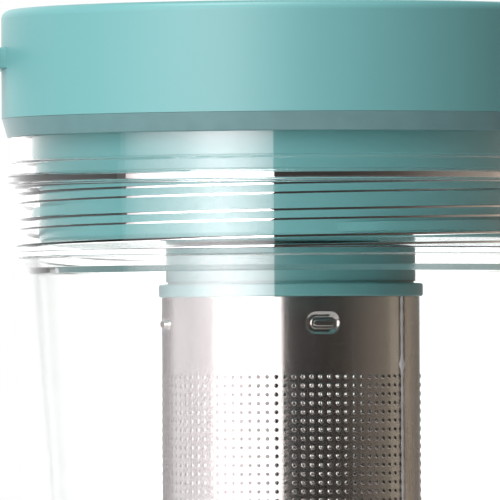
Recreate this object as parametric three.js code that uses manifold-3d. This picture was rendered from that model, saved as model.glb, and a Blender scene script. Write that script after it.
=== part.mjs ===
// Tea infuser flask: a clear double-wall vessel, and a screw lid that carries a steel infuser basket.
// Millimetres, +Z up. The origin is the centre of the base. The front faces -Y, and the carry loop
// points to -X.

import * as THREE from 'three';
import { mergeVertices } from 'three/addons/utils/BufferGeometryUtils.js';
import Module from 'manifold-3d';

const wasm = await Module();
wasm.setup();

// Fits
const SEAT_GAP = 0.3; // left between pieces that touch
const MOUTH_PLAY = 0.4; // plug collar in the vessel's mouth
const THREAD_PLAY = 0.4; // plug to ridge crest, and lug to ridge flank
const SPIGOT_PLAY = 0.4; // holder spigot in the basket

// Outer shell
const SHELL_HEIGHT = 167.7; // base to the joint under the neck
const SHELL_WALL = 1.2;
const SHELL_FLOOR = 3.0;
const SHELL_FOOT_ROUND = 3.0;

// Inner liner
const LINER_WALL = 1.3;
const LINER_FLOOR = 2.0;
const LINER_FOOT_RADIUS = 24.5; // inside, at the liner's floor
const LINER_FOOT_ROUND = 5.0;
const FOOT_AIR_GAP = 5.0; // between the two walls, near the base
const FLOOR_AIR_GAP = 4.0; // between the two floors
const SHOULDER_HEIGHT = 2.6; // stretch of the liner that seats inside the shell's top
const LEDGE_HEIGHT = 0.9; // floor of the threaded neck, above the joint
const LIP_PROUD = 0.6; // stop below the plug
const LIP_HEIGHT = 0.8;

// Threaded neck, moulded in one with the liner
const NECK_HEIGHT = 14.9; // joint to rim
const NECK_WALL = 1.05; // behind the thread
const MOUTH_DEPTH = 5.3; // plain bore above the thread
const RIM_BAND_HEIGHT = 3.2; // rim to bead
const RIM_LEAD_IN = 0.8; // chamfer inside the rim
const BEAD_HEIGHT = 3.3;
const BEAD_PROUD = 0.75; // beyond the neck
const BEAD_STEP = 0.6; // beyond the rim band

// Single-start right-hand thread
const THREAD_PITCH = 3.5;
const THREAD_DEPTH = 1.9;
const RIDGE_BASE = 1.7;
const RIDGE_CREST = 0.9;
const RIDGE_START_DEG = 265; // where the ridge leaves the ledge, counted from +X
const RIDGE_RUN_OUT_DEG = 20;
const LUG_COUNT = 3;
const LUG_SPAN_DEG = 50;
const LUG_LEAD_DEG = 40; // first lug's middle, past the ridge's start
const LUG_RUN_OUT_DEG = 10;

// Rim gasket
const GASKET_HEIGHT = 2.1;
const GASKET_INSET = 0.12; // its top edge, inside the lid's wall
const GASKET_TAPER = 0.65;

// Lid cap
const LID_HEIGHT = 14.4;
const LID_OVERHANG = 0.55; // beyond the bead
const LID_WALL = 2.2;
const LID_TOP = 2.4;
const LID_TOP_ROUND = 1.2;

// Lid plug
const PLUG_RADIUS = 34.1;
const PLUG_WALL = 2.0;
const PLUG_FLOOR = 2.2;
const PLUG_FOOT_ROUND = 0.8;
const PLUG_STOP_GAP = 1.4; // plug to the lip under it
const PLUG_FLANGE_HEIGHT = 1.6;
const COLLAR_DEPTH = 3.3; // collar below the rim
const COLLAR_STEP = 0.9; // beyond the threaded part
const STEP_PROUD = 0.4; // rounded step between collar and thread

// Carry loop
const LOOP_THICKNESS = 2.85;
const LOOP_RISE = 6.4; // above the lid's hem
const LOOP_REACH = 20.0; // beyond the lid
const LOOP_HALF_WIDTH = 14.0;
const LOOP_STRAP = 4.6;
const LOOP_BRIDGE = 3.0; // between the lid and the finger hole
const LOOP_TONGUE_HALF_WIDTH = 8.0;
const LOOP_ANCHOR_SPAN_DEG = 36;

// Infuser holder
const HOLDER_COLLAR_HEIGHT = 5.6;
const HOLDER_COLLAR_INSET = 0.6; // inside the basket's wall
const HOLDER_FLANGE_HEIGHT = 1.8;
const HOLDER_FLANGE_PROUD = 0.4;
const HOLDER_CEILING = 2.4;
const SPIGOT_LENGTH = 9.0;
const SPIGOT_WALL = 1.8;
const STEM_RADIUS = 12.0;
const STEM_LIP_PROUD = 1.2;
const STEM_LIP_HEIGHT = 1.5;

// Infuser basket
const BASKET_RADIUS = 17.5;
const BASKET_WALL = 0.5;
const BASKET_LENGTH = 100.0;
const BASKET_BASE_WALL = 0.6;
const BASKET_BASE_HEIGHT = 3.5;
const BASKET_BASE_ROUND = 0.8;
const DIMPLE_COUNT = 4;
const DIMPLE_START_DEG = -76; // from +X
const DIMPLE_DROP = 3.6; // below the holder's flange
const DIMPLE_HALF_WIDTH = 2.3;
const DIMPLE_HALF_HEIGHT = 1.6;
const DIMPLE_PROUD = 1.0;
const NUB_PROUD = 0.2;

// Facets
const WIDE_STEPS = 48; // round the vessel and lid
const NARROW_STEPS = 32; // round the basket and holder
const THREAD_STEPS_PER_TURN = 36;
const ROUND_STEPS = 2;
const DIMPLE_STEPS = 8;
const LOOP_STEPS = 8;
const ROUND_SHARE = 0.45; // of a side, at most, for each rounding at its ends
const WELD = 1e-4; // points closer than this are one
const BURY = 0.4; // depth that a joined feature reaches into its wall

// Radii that follow from the plug
const collarRadius = PLUG_RADIUS + COLLAR_STEP;
const mouthRadius = collarRadius + MOUTH_PLAY;
const boreRadius = PLUG_RADIUS + SEAT_GAP;
const crestRadius = PLUG_RADIUS + THREAD_PLAY;
const rootRadius = crestRadius + THREAD_DEPTH;
const neckRadius = rootRadius + NECK_WALL;
const shellFootRadius = LINER_FOOT_RADIUS + LINER_WALL + FOOT_AIR_GAP + SHELL_WALL;
const shellSlope = (neckRadius - shellFootRadius) / SHELL_HEIGHT;
const lugRadius = mouthRadius - SEAT_GAP;
const lipRadius = boreRadius - LIP_PROUD;

// Heights on the vessel
const jointZ = SHELL_HEIGHT;
const neckZ = jointZ + SEAT_GAP;
const ledgeZ = neckZ + LEDGE_HEIGHT;
const rimZ = neckZ + NECK_HEIGHT;
const beadTopZ = rimZ - RIM_BAND_HEIGHT;
const beadBottomZ = beadTopZ - BEAD_HEIGHT;
const mouthZ = rimZ - MOUTH_DEPTH;
const shoulderZ = jointZ - SHOULDER_HEIGHT;
const lipTopZ = jointZ - LIP_HEIGHT / 2;
const linerFloorZ = SHELL_FLOOR + FLOOR_AIR_GAP;
const ridgeStartZ = ledgeZ - RIDGE_BASE / 2;
const ridgeTurns = (mouthZ - RIDGE_BASE / 2 - ridgeStartZ) / THREAD_PITCH;

const neckTopRadius = shellRadius(beadBottomZ);
const beadRadius = neckTopRadius + BEAD_PROUD;
const rimRadius = beadRadius - BEAD_STEP;
const lidRadius = beadRadius + LID_OVERHANG;
const lidBoreRadius = lidRadius - LID_WALL;

// Heights on the lid, counted from the vessel's rim
const gasketZ = SEAT_GAP;
const hemZ = gasketZ + GASKET_HEIGHT + SEAT_GAP;
const ceilingZ = hemZ + LID_HEIGHT - LID_TOP;
const collarZ = -COLLAR_DEPTH;
const stepZ = -MOUTH_DEPTH + SEAT_GAP;
const plugFootZ = lipTopZ + PLUG_STOP_GAP - rimZ;
const plugFloorZ = plugFootZ + PLUG_FLOOR;

// Heights on the infuser, counted from the underside of the holder's flange
const holderTopZ = HOLDER_FLANGE_HEIGHT + HOLDER_COLLAR_HEIGHT;
const infuserZ = plugFootZ - SEAT_GAP - holderTopZ;
const basketTopZ = -SEAT_GAP;
const basketFootZ = basketTopZ - BASKET_LENGTH;
const basketBoreRadius = BASKET_RADIUS - BASKET_WALL;
const spigotRadius = basketBoreRadius - SPIGOT_PLAY;

// Outside of the shell and neck, one straight taper from the base
function shellRadius(z) {
  return shellFootRadius + shellSlope * z;
}

// Turns a closed three.js geometry into a solid that can be joined and cut.
function solid(geometry) {
  geometry.deleteAttribute('normal');
  geometry.deleteAttribute('uv');
  const merged = mergeVertices(geometry, WELD);
  const corners = merged.index.array;
  const triangles = [];
  for (let i = 0; i < corners.length; i += 3) {
    const [a, b, c] = corners.slice(i, i + 3);
    if (a !== b && b !== c && c !== a) {
      triangles.push(a, b, c);
    }
  }
  const mesh = new wasm.Mesh({
    numProp: 3,
    vertProperties: merged.attributes.position.array,
    triVerts: new Uint32Array(triangles),
  });
  return new wasm.Manifold(mesh);
}

// An outline through [x, y, rounding] corners, which closes on itself.
// A rounding takes up at most a share of the shorter side beside it.
function outlineOf(corners) {
  const path = new THREE.Path();
  const points = corners.map(([x, y]) => new THREE.Vector2(x, y));
  points.forEach((corner, i) => {
    const before = points.at(i - 1);
    const after = points[(i + 1) % points.length];
    const room = ROUND_SHARE * Math.min(corner.distanceTo(before), corner.distanceTo(after));
    const round = Math.min(corners[i][2] ?? 0, room);
    const enter = before.clone().sub(corner).setLength(round).add(corner);
    const leave = after.clone().sub(corner).setLength(round).add(corner);
    if (i === 0) {
      path.moveTo(enter.x, enter.y);
    } else {
      path.lineTo(enter.x, enter.y);
    }
    if (round > 0) {
      path.quadraticCurveTo(corner.x, corner.y, leave.x, leave.y);
    }
  });
  path.closePath();
  return path;
}

// The points of a closed path, without the doubled ones where its arcs meet
function distinctPoints(path) {
  const points = path.getPoints(LOOP_STEPS);
  return points.filter((point, i) => point.distanceTo(points.at(i - 1)) > WELD);
}

// A ring or cup: an outline of [radius, height, rounding] corners turned about Z.
function turned(corners, steps) {
  const outline = outlineOf(corners).getPoints(ROUND_STEPS);
  return solid(new THREE.LatheGeometry(outline, steps).rotateX(Math.PI / 2));
}

// A bar that climbs a helix about Z. sectionAt gives its corners as [radius, height] at a share of its span.
function helixBar(startDeg, startZ, turns, sectionAt) {
  const steps = Math.max(2, Math.ceil(turns * THREAD_STEPS_PER_TURN));
  const sides = sectionAt(0).length;
  const positions = [];
  for (let step = 0; step <= steps; step += 1) {
    const share = step / steps;
    const angle = THREE.MathUtils.degToRad(startDeg) + share * turns * 2 * Math.PI;
    const climb = startZ + share * turns * THREAD_PITCH;
    for (const [radius, height] of sectionAt(share)) {
      positions.push(radius * Math.cos(angle), radius * Math.sin(angle), climb + height);
    }
  }
  const triangles = [];
  for (let step = 0; step < steps; step += 1) {
    for (let side = 0; side < sides; side += 1) {
      const near = step * sides + side;
      const nearNext = step * sides + (side + 1) % sides;
      triangles.push(near, near + sides, nearNext, nearNext, near + sides, nearNext + sides);
    }
  }
  const last = steps * sides;
  for (let side = 1; side < sides - 1; side += 1) {
    triangles.push(0, side, side + 1, last, last + side + 1, last + side);
  }
  const geometry = new THREE.BufferGeometry();
  geometry.setAttribute('position', new THREE.Float32BufferAttribute(positions, 3));
  geometry.setIndex(triangles);
  return solid(geometry);
}

// 0 at both ends of a bar and 1 along its middle
function runOut(share, spanDeg, runOutDeg) {
  return Math.min(1, share * spanDeg / runOutDeg, (1 - share) * spanDeg / runOutDeg);
}

// A flattened ball on a cylinder's wall, wide round the wall and high along it
function wallBall(wallRadius, angleDeg, z, [proud, halfWidth, halfHeight]) {
  const ball = new THREE.SphereGeometry(1, DIMPLE_STEPS, DIMPLE_STEPS);
  ball.scale(proud, halfWidth, halfHeight);
  ball.translate(wallRadius, 0, z);
  ball.rotateZ(THREE.MathUtils.degToRad(angleDeg));
  return solid(ball);
}

function dimpleAngles() {
  return Array.from({ length: DIMPLE_COUNT }, (_, i) => DIMPLE_START_DEG + i * 360 / DIMPLE_COUNT);
}

function clearPlastic() {
  return new THREE.MeshStandardMaterial({
    color: 0xeef4f4, roughness: 0.06, metalness: 0, transparent: true, opacity: 0.3,
  });
}

function tealPlastic() {
  return new THREE.MeshStandardMaterial({ color: 0x6fbdb8, roughness: 0.45, metalness: 0 });
}

function clearSilicone() {
  return new THREE.MeshStandardMaterial({
    color: 0x9fb6b8, roughness: 0.5, metalness: 0, transparent: true, opacity: 0.8,
  });
}

function brushedSteel() {
  return new THREE.MeshStandardMaterial({ color: 0xb9b6b2, roughness: 0.25, metalness: 1 });
}

function piece(name, manifold, material) {
  const { vertProperties, triVerts } = manifold.getMesh();
  const geometry = new THREE.BufferGeometry();
  geometry.setAttribute('position', new THREE.BufferAttribute(vertProperties, 3));
  geometry.setIndex(new THREE.BufferAttribute(triVerts, 1));
  geometry.computeVertexNormals();
  const mesh = new THREE.Mesh(geometry, material);
  mesh.name = name;
  return mesh;
}

// The outer wall of the vessel, with a flat base
function outerShell() {
  return turned([
    [0, 0],
    [shellFootRadius, 0, SHELL_FOOT_ROUND],
    [shellRadius(jointZ), jointZ],
    [shellRadius(jointZ) - SHELL_WALL, jointZ],
    [shellRadius(SHELL_FLOOR) - SHELL_WALL, SHELL_FLOOR, SHELL_FOOT_ROUND],
    [0, SHELL_FLOOR],
  ], WIDE_STEPS);
}

// The inner cup. Its shoulder seats inside the shell's top, and its neck stands flush above the shell.
function innerLiner() {
  const linerTopZ = shoulderZ - LIP_HEIGHT;
  const shoulderRadius = (z) => shellRadius(z) - SHELL_WALL - SEAT_GAP;
  const cup = turned([
    [0, linerFloorZ],
    [LINER_FOOT_RADIUS + LINER_WALL, linerFloorZ, LINER_FOOT_ROUND],
    [boreRadius + LINER_WALL, linerTopZ],
    [shoulderRadius(shoulderZ), shoulderZ],
    [shoulderRadius(neckZ), neckZ],
    [shellRadius(neckZ), neckZ],
    [shellRadius(beadBottomZ), beadBottomZ],
    [beadRadius, beadBottomZ],
    [beadRadius, beadTopZ],
    [rimRadius, beadTopZ],
    [rimRadius, rimZ],
    [mouthRadius + RIM_LEAD_IN, rimZ],
    [mouthRadius, rimZ - RIM_LEAD_IN],
    [mouthRadius, mouthZ],
    [rootRadius, mouthZ - (rootRadius - mouthRadius)],
    [rootRadius, ledgeZ],
    [boreRadius, ledgeZ, LEDGE_HEIGHT],
    [boreRadius, lipTopZ],
    [lipRadius, lipTopZ - LIP_PROUD],
    [lipRadius, lipTopZ - LIP_PROUD - LIP_HEIGHT],
    [boreRadius, linerTopZ],
    [LINER_FOOT_RADIUS, linerFloorZ + LINER_FLOOR, LINER_FOOT_ROUND],
    [0, linerFloorZ + LINER_FLOOR],
  ], WIDE_STEPS);
  const spanDeg = ridgeTurns * 360;
  const ridge = helixBar(RIDGE_START_DEG, ridgeStartZ, ridgeTurns, (share) => {
    const crest = rootRadius - THREAD_DEPTH * runOut(share, spanDeg, RIDGE_RUN_OUT_DEG);
    const buried = rootRadius + BURY;
    return [
      [buried, -RIDGE_BASE / 2],
      [buried, RIDGE_BASE / 2],
      [crest, RIDGE_CREST / 2],
      [crest, -RIDGE_CREST / 2],
    ];
  });
  const aboveLedge = turned([
    [0, ledgeZ - BURY],
    [neckRadius, ledgeZ - BURY],
    [neckRadius, rimZ],
    [0, rimZ],
  ], WIDE_STEPS);
  return cup.add(ridge.intersect(aboveLedge));
}

// The soft ring pressed between the lid's hem and the vessel's rim
function rimGasket() {
  const top = lidRadius - GASKET_INSET;
  return turned([
    [collarRadius + SEAT_GAP, gasketZ],
    [top - GASKET_TAPER, gasketZ],
    [top, gasketZ + GASKET_HEIGHT],
    [collarRadius + SEAT_GAP, gasketZ + GASKET_HEIGHT],
  ], WIDE_STEPS);
}

// The lid's outer shell, with a slot for the carry loop
function lidCap() {
  const topZ = hemZ + LID_HEIGHT;
  const cap = turned([
    [lidBoreRadius, hemZ],
    [lidRadius, hemZ],
    [lidRadius, topZ, LID_TOP_ROUND],
    [0, topZ],
    [0, ceilingZ],
    [lidBoreRadius, ceilingZ],
  ], WIDE_STEPS);
  const slotHalf = LOOP_TONGUE_HALF_WIDTH + SEAT_GAP;
  const slotNear = Math.sqrt(lidBoreRadius ** 2 - slotHalf ** 2) - BURY;
  const slotFar = lidRadius + BURY;
  const slot = new THREE.BoxGeometry(slotFar - slotNear, 2 * slotHalf, LOOP_THICKNESS + 2 * SEAT_GAP);
  slot.translate(-(slotNear + slotFar) / 2, 0, hemZ + LOOP_RISE + LOOP_THICKNESS / 2);
  return cap.subtract(solid(slot));
}

// Half the ridge's height at a radius between its crest and its root
function ridgeHalfHeight(radius) {
  const share = (radius - crestRadius) / THREAD_DEPTH;
  return THREE.MathUtils.lerp(RIDGE_CREST, RIDGE_BASE, share) / 2;
}

// The cup that fills the vessel's mouth, with thread lugs that run between the neck's ridges
function lidPlug() {
  const flangeRadius = lidBoreRadius - SEAT_GAP;
  const boreWall = PLUG_RADIUS - PLUG_WALL;
  const stemHole = STEM_RADIUS + SEAT_GAP;
  let plug = turned([
    [stemHole, plugFootZ],
    [PLUG_RADIUS, plugFootZ, PLUG_FOOT_ROUND],
    [PLUG_RADIUS, stepZ],
    [PLUG_RADIUS + STEP_PROUD, stepZ, STEP_PROUD],
    [PLUG_RADIUS + STEP_PROUD, collarZ],
    [collarRadius, collarZ],
    [collarRadius, hemZ],
    [flangeRadius, hemZ],
    [flangeRadius, hemZ + PLUG_FLANGE_HEIGHT],
    [collarRadius, hemZ + PLUG_FLANGE_HEIGHT],
    [collarRadius, ceilingZ - SEAT_GAP],
    [boreWall, ceilingZ - SEAT_GAP],
    [boreWall, plugFloorZ, PLUG_FOOT_ROUND],
    [stemHole, plugFloorZ],
  ], WIDE_STEPS);
  const tipHalf = THREAD_PITCH / 2 - ridgeHalfHeight(lugRadius) - THREAD_PLAY;
  const footHalf = THREAD_PITCH / 2 - ridgeHalfHeight(crestRadius) - THREAD_PLAY;
  const grooveZ = ridgeStartZ + THREAD_PITCH / 2 - rimZ;
  const spanTurns = LUG_SPAN_DEG / 360;
  const lugSection = (share) => {
    const rise = runOut(share, LUG_SPAN_DEG, LUG_RUN_OUT_DEG);
    const tip = THREE.MathUtils.lerp(PLUG_RADIUS, lugRadius, rise);
    const buried = PLUG_RADIUS - BURY;
    return [
      [tip, -tipHalf],
      [tip, tipHalf],
      [buried, footHalf],
      [buried, -footHalf],
    ];
  };
  for (let i = 0; i < LUG_COUNT; i += 1) {
    const leadDeg = LUG_LEAD_DEG - LUG_SPAN_DEG / 2 + i * 360 / LUG_COUNT;
    const lugZ = grooveZ + THREAD_PITCH * leadDeg / 360;
    plug = plug.add(helixBar(RIDGE_START_DEG + leadDeg, lugZ, spanTurns, lugSection));
  }
  return plug;
}

// A flat finger loop. Its tongue passes through the lid's wall and widens to an anchor behind it.
function carryLoop() {
  const anchorIn = collarRadius + SEAT_GAP;
  const anchorOut = lidBoreRadius - SEAT_GAP;
  const anchorHalf = THREE.MathUtils.degToRad(LOOP_ANCHOR_SPAN_DEG / 2);
  const tongueHalf = Math.asin(LOOP_TONGUE_HALF_WIDTH / anchorOut);
  const bridge = lidRadius + SEAT_GAP;
  const reach = lidRadius + LOOP_REACH;
  const bow = reach - LOOP_HALF_WIDTH;
  const outline = new THREE.Path();
  outline.absarc(0, 0, anchorIn, -anchorHalf, anchorHalf, false);
  outline.absarc(0, 0, anchorOut, anchorHalf, tongueHalf, true);
  outline.lineTo(bridge, LOOP_TONGUE_HALF_WIDTH);
  outline.quadraticCurveTo(bridge + LOOP_BRIDGE, LOOP_HALF_WIDTH, bow, LOOP_HALF_WIDTH);
  outline.absarc(bow, 0, LOOP_HALF_WIDTH, Math.PI / 2, -Math.PI / 2, true);
  outline.quadraticCurveTo(bridge + LOOP_BRIDGE, -LOOP_HALF_WIDTH, bridge, -LOOP_TONGUE_HALF_WIDTH);
  outline.absarc(0, 0, anchorOut, -tongueHalf, -anchorHalf, true);
  const hole = new THREE.Path();
  const holeHalf = LOOP_HALF_WIDTH - LOOP_STRAP;
  const holeNear = bridge + LOOP_BRIDGE;
  hole.moveTo(holeNear, 0);
  hole.quadraticCurveTo(holeNear, -holeHalf, bow, -holeHalf);
  hole.absarc(bow, 0, holeHalf, -Math.PI / 2, Math.PI / 2, false);
  hole.quadraticCurveTo(holeNear, holeHalf, holeNear, 0);
  const shape = new THREE.Shape(distinctPoints(outline));
  shape.holes.push(new THREE.Path(distinctPoints(hole)));
  const geometry = new THREE.ExtrudeGeometry(shape, { depth: LOOP_THICKNESS, bevelEnabled: false });
  geometry.rotateZ(Math.PI);
  geometry.translate(0, 0, hemZ + LOOP_RISE);
  return solid(geometry);
}

// The stopper under the plug: a stem clipped in the plug's floor, and a spigot that the basket slides on to
function infuserHolder() {
  const collar = BASKET_RADIUS - HOLDER_COLLAR_INSET;
  const flange = BASKET_RADIUS + HOLDER_FLANGE_PROUD;
  const stemTopZ = holderTopZ + PLUG_FLOOR + 2 * SEAT_GAP;
  let holder = turned([
    [0, holderTopZ - HOLDER_CEILING],
    [spigotRadius - SPIGOT_WALL, holderTopZ - HOLDER_CEILING, SPIGOT_WALL],
    [spigotRadius - SPIGOT_WALL, -SPIGOT_LENGTH],
    [spigotRadius, -SPIGOT_LENGTH, SPIGOT_PLAY],
    [spigotRadius, 0],
    [flange, 0],
    [flange, HOLDER_FLANGE_HEIGHT],
    [collar, HOLDER_FLANGE_HEIGHT],
    [collar, holderTopZ],
    [STEM_RADIUS, holderTopZ],
    [STEM_RADIUS, stemTopZ],
    [STEM_RADIUS + STEM_LIP_PROUD, stemTopZ],
    [STEM_RADIUS, stemTopZ + STEM_LIP_HEIGHT],
    [0, stemTopZ + STEM_LIP_HEIGHT],
  ], NARROW_STEPS);
  for (const angle of dimpleAngles()) {
    const nub = wallBall(spigotRadius - BURY, angle, -DIMPLE_DROP, [
      NUB_PROUD + BURY,
      DIMPLE_HALF_WIDTH / 2,
      DIMPLE_HALF_HEIGHT / 2,
    ]);
    holder = holder.add(nub);
  }
  return holder;
}

// The rolled sheet of the basket, with dimples pressed out over the holder's nubs
function basketTube() {
  let tube = turned([
    [0, basketFootZ],
    [BASKET_RADIUS, basketFootZ],
    [BASKET_RADIUS, basketTopZ],
    [0, basketTopZ],
  ], NARROW_STEPS);
  let bore = turned([
    [0, basketFootZ - BURY],
    [basketBoreRadius, basketFootZ - BURY],
    [basketBoreRadius, basketTopZ + BURY],
    [0, basketTopZ + BURY],
  ], NARROW_STEPS);
  const bumpSize = [DIMPLE_PROUD, DIMPLE_HALF_WIDTH, DIMPLE_HALF_HEIGHT];
  const hollowSize = bumpSize.map((half) => half - BASKET_WALL);
  for (const angle of dimpleAngles()) {
    tube = tube.add(wallBall(BASKET_RADIUS, angle, -DIMPLE_DROP, bumpSize));
    bore = bore.add(wallBall(basketBoreRadius, angle, -DIMPLE_DROP, hollowSize));
  }
  return tube.subtract(bore);
}

// The shallow cup that closes the basket's foot
function basketBase() {
  const radius = basketBoreRadius - SEAT_GAP;
  const topZ = basketFootZ + BASKET_BASE_HEIGHT;
  return turned([
    [0, basketFootZ],
    [radius, basketFootZ, BASKET_BASE_ROUND],
    [radius, topZ],
    [radius - BASKET_BASE_WALL, topZ],
    [radius - BASKET_BASE_WALL, basketFootZ + BASKET_BASE_WALL, BASKET_BASE_ROUND],
    [0, basketFootZ + BASKET_BASE_WALL],
  ], NARROW_STEPS);
}

const infuser = new THREE.Group();
infuser.position.z = infuserZ;
infuser.add(
  piece('infuser_holder', infuserHolder(), tealPlastic()),
  piece('basket_tube', basketTube(), brushedSteel()),
  piece('basket_base', basketBase(), brushedSteel()),
);

const lid = new THREE.Group();
lid.position.z = rimZ;
lid.add(
  piece('rim_gasket', rimGasket(), clearSilicone()),
  piece('lid_cap', lidCap(), tealPlastic()),
  piece('lid_plug', lidPlug(), tealPlastic()),
  piece('carry_loop', carryLoop(), tealPlastic()),
  infuser,
);

const flask = new THREE.Group();
flask.add(
  piece('outer_shell', outerShell(), clearPlastic()),
  piece('inner_liner', innerLiner(), clearPlastic()),
  lid,
);

export default flask;
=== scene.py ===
import math

import bmesh
import bpy
import numpy as np
from bpy.props import FloatProperty, FloatVectorProperty, IntProperty, PointerProperty
from bpy.types import Operator, Panel, PropertyGroup
from mathutils import Matrix, Vector


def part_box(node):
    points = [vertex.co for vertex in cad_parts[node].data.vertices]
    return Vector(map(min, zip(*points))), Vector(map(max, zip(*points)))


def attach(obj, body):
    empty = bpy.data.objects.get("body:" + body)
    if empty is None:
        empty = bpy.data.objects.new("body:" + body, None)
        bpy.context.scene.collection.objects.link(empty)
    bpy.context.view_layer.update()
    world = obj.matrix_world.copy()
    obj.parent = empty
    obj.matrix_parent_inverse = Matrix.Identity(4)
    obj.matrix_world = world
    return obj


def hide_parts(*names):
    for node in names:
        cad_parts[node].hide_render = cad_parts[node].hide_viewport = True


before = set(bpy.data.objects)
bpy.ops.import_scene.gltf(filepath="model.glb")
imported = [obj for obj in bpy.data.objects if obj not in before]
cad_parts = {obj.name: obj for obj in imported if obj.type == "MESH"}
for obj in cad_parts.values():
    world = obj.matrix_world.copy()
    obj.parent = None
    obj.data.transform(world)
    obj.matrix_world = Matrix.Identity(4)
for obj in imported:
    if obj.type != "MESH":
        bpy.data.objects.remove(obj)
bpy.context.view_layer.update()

bl_info = {
    "name": "Tea infuser flask",
    "version": (1, 0, 0),
    "blender": (4, 5, 0),
    "location": "3D View > Sidebar > Flask",
    "description": "Builds the pieces of a clear flask with a screw lid and an infuser basket",
    "category": "Add Mesh",
}

MM = 0.001

# Lowest and highest corners of the solids that the pieces stand for
SHELL_LOW, SHELL_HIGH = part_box("outer_shell")
LINER_LOW, LINER_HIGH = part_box("inner_liner")
LID_LOW, LID_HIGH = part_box("lid_cap")
PLUG_LOW, PLUG_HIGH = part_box("lid_plug")
LOOP_LOW, LOOP_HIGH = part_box("carry_loop")
HOLDER_LOW, HOLDER_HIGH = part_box("infuser_holder")
TUBE_LOW, TUBE_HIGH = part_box("basket_tube")
FOOT_LOW, FOOT_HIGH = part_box("basket_base")

# Softbox brightness from its far edge to its edge beside the camera
SOFTBOX_FALL = (
    (0.0, 0.12),
    (0.14, 0.26),
    (0.29, 0.4),
    (0.44, 0.6),
    (0.58, 0.95),
    (0.67, 1.0),
    (0.87, 0.64),
    (1.0, 0.38),
)

WHITE = (1.0, 1.0, 1.0)

# The studio's ring round the horizon, clockwise from behind the flask. Each place on its left has
# three greys: for a first reflection off a clear wall, for one off the basket, and for later ones.
RING_LEFT = (
    (0.0, 1.0, 0.5, 1.0),
    (0.042, 1.0, 0.06, 1.0),
    (0.06, 0.85, 0.03, 0.42),
    (0.085, 0.82, 0.02, 0.14),
    (0.105, 0.74, 0.02, 0.11),
    (0.13, 0.5, 0.14, 0.08),
    (0.155, 0.34, 0.34, 0.06),
    (0.197, 0.24, 0.24, 0.052),
    (0.228, 0.17, 0.17, 0.046),
    (0.256, 0.135, 0.135, 0.042),
    (0.3, 0.06, 0.06, 0.034),
)
RING_REST = [
    (0.47, (0.022, 0.02, 0.019)),
    (0.56, (0.02, 0.018, 0.017)),
    (0.63, (0.04, 0.033, 0.028)),
    (0.69, (0.1, 0.083, 0.073)),
    (0.76, (0.17, 0.142, 0.118)),
    (0.787, (0.3, 0.25, 0.2)),
    (0.81, (0.21, 0.175, 0.145)),
    (0.855, (0.29, 0.24, 0.205)),
    (0.89, (0.18, 0.155, 0.138)),
    (0.94, (0.13, 0.115, 0.105)),
    (0.955, (0.4, 0.39, 0.385)),
    (0.97, WHITE),
]
OVERHEAD_TONE = (0.1, 0.1, 0.1)

# Upward parts of a direction between which the ring gives way to the overhead tone
OVERHEAD_START = 0.35
OVERHEAD_END = 0.75

# Counts on a ray's way, less a half: reflections, and clear surfaces to the basket and out again
ONE_REFLECTION = 0.5
TWO_REFLECTIONS = 1.5
BASKET_SURFACES = 7.5

# Darkest part of the floor's mottle, and where the floor starts to fade, as shares
FLOOR_DIM = 0.985
FLOOR_FADE = 0.45

# Mesh fineness
WIDE_SEGMENTS = 256
NARROW_SEGMENTS = 192
THREAD_SEGMENTS = 144
FLOOR_SEGMENTS = 96
CUTTER_SEGMENTS = 10
HOLE_SIDES = 8
ROUND_STEPS = 6
BEVEL_STEPS = 4
CURVE_POINTS = 16
BAND_LEVELS = 12
SEAM_STEPS = 700
DIMPLE_STEP = 0.07 * MM
SHARP_ANGLE = math.radians(32)
BEVEL_ANGLE = math.radians(50)

# Distance within which points merge, and depth by which joined shapes overlap
WELD = 1e-6
BURY = 0.4 * MM

# Longest share of an edge that a rounding takes up, and share of the rounding to the point beside it
EDGE_SHARE = 0.48
GUARD_SHARE = 0.04

# Dense grid round a dimple and depth of the foot's cutters, in dimples and walls
DIMPLE_MARGIN = 1.1
CUTTER_WALLS = 4

# Distance between staggered rows, as a share of the pitch
STAGGER = math.sqrt(0.75)

# Refraction of coloured and of clear plastic
PLASTIC_IOR = 1.5
CLEAR_IOR = 1.54

# Darkest part of the gasket's cloud, as a share of its colour
CLOUD_DIM = 0.9

# Edges of the heat tint as shares of the lap, and the least of it between the stains
HEAT_OUTER = 0.56
HEAT_INNER = 0.44
HEAT_LEAST = 0.3

# Turns from the weld, in radians, between which the scorched edge fades
SCORCH_START = 0.03
SCORCH_END = 0.06

# Growth of the weld at its knot, and (size, length) of the waves along it
KNOT_SWELL = 1.2
SEAM_WAVES = ((0.12, 0.31 * MM), (0.08, 0.83 * MM))

# Outline across the weld, as shares of its half width and height. Below 0 is inside the sheet.
SEAM_SECTION = (
    (-1.0, -1.0),
    (-1.0, 0.0),
    (-0.72, 0.55),
    (-0.38, 0.9),
    (0.0, 1.0),
    (0.38, 0.9),
    (0.72, 0.55),
    (1.0, 0.0),
    (1.0, -1.0),
)


def length(name, description, default_mm):
    """A length that a user can set, with its default in millimetres."""
    return FloatProperty(
        name=name, description=description, default=default_mm * MM, min=0.0, unit="LENGTH", precision=5
    )


def angle(name, description, default_deg):
    """An angle that a user can set, with its default in degrees."""
    return FloatProperty(
        name=name, description=description, default=math.radians(default_deg), subtype="ANGLE"
    )


def colour(name, description, default):
    """A colour that a user can set."""
    return FloatVectorProperty(
        name=name, description=description, default=default, size=3, min=0.0, max=1.0, subtype="COLOR"
    )


def brightness(name, description, default):
    """A strength of light that a user can set."""
    return FloatProperty(name=name, description=description, default=default, min=0.0)


def count(name, description, default, least=1):
    """A number of like things that a user can set."""
    return IntProperty(name=name, description=description, default=default, min=least)


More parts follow.
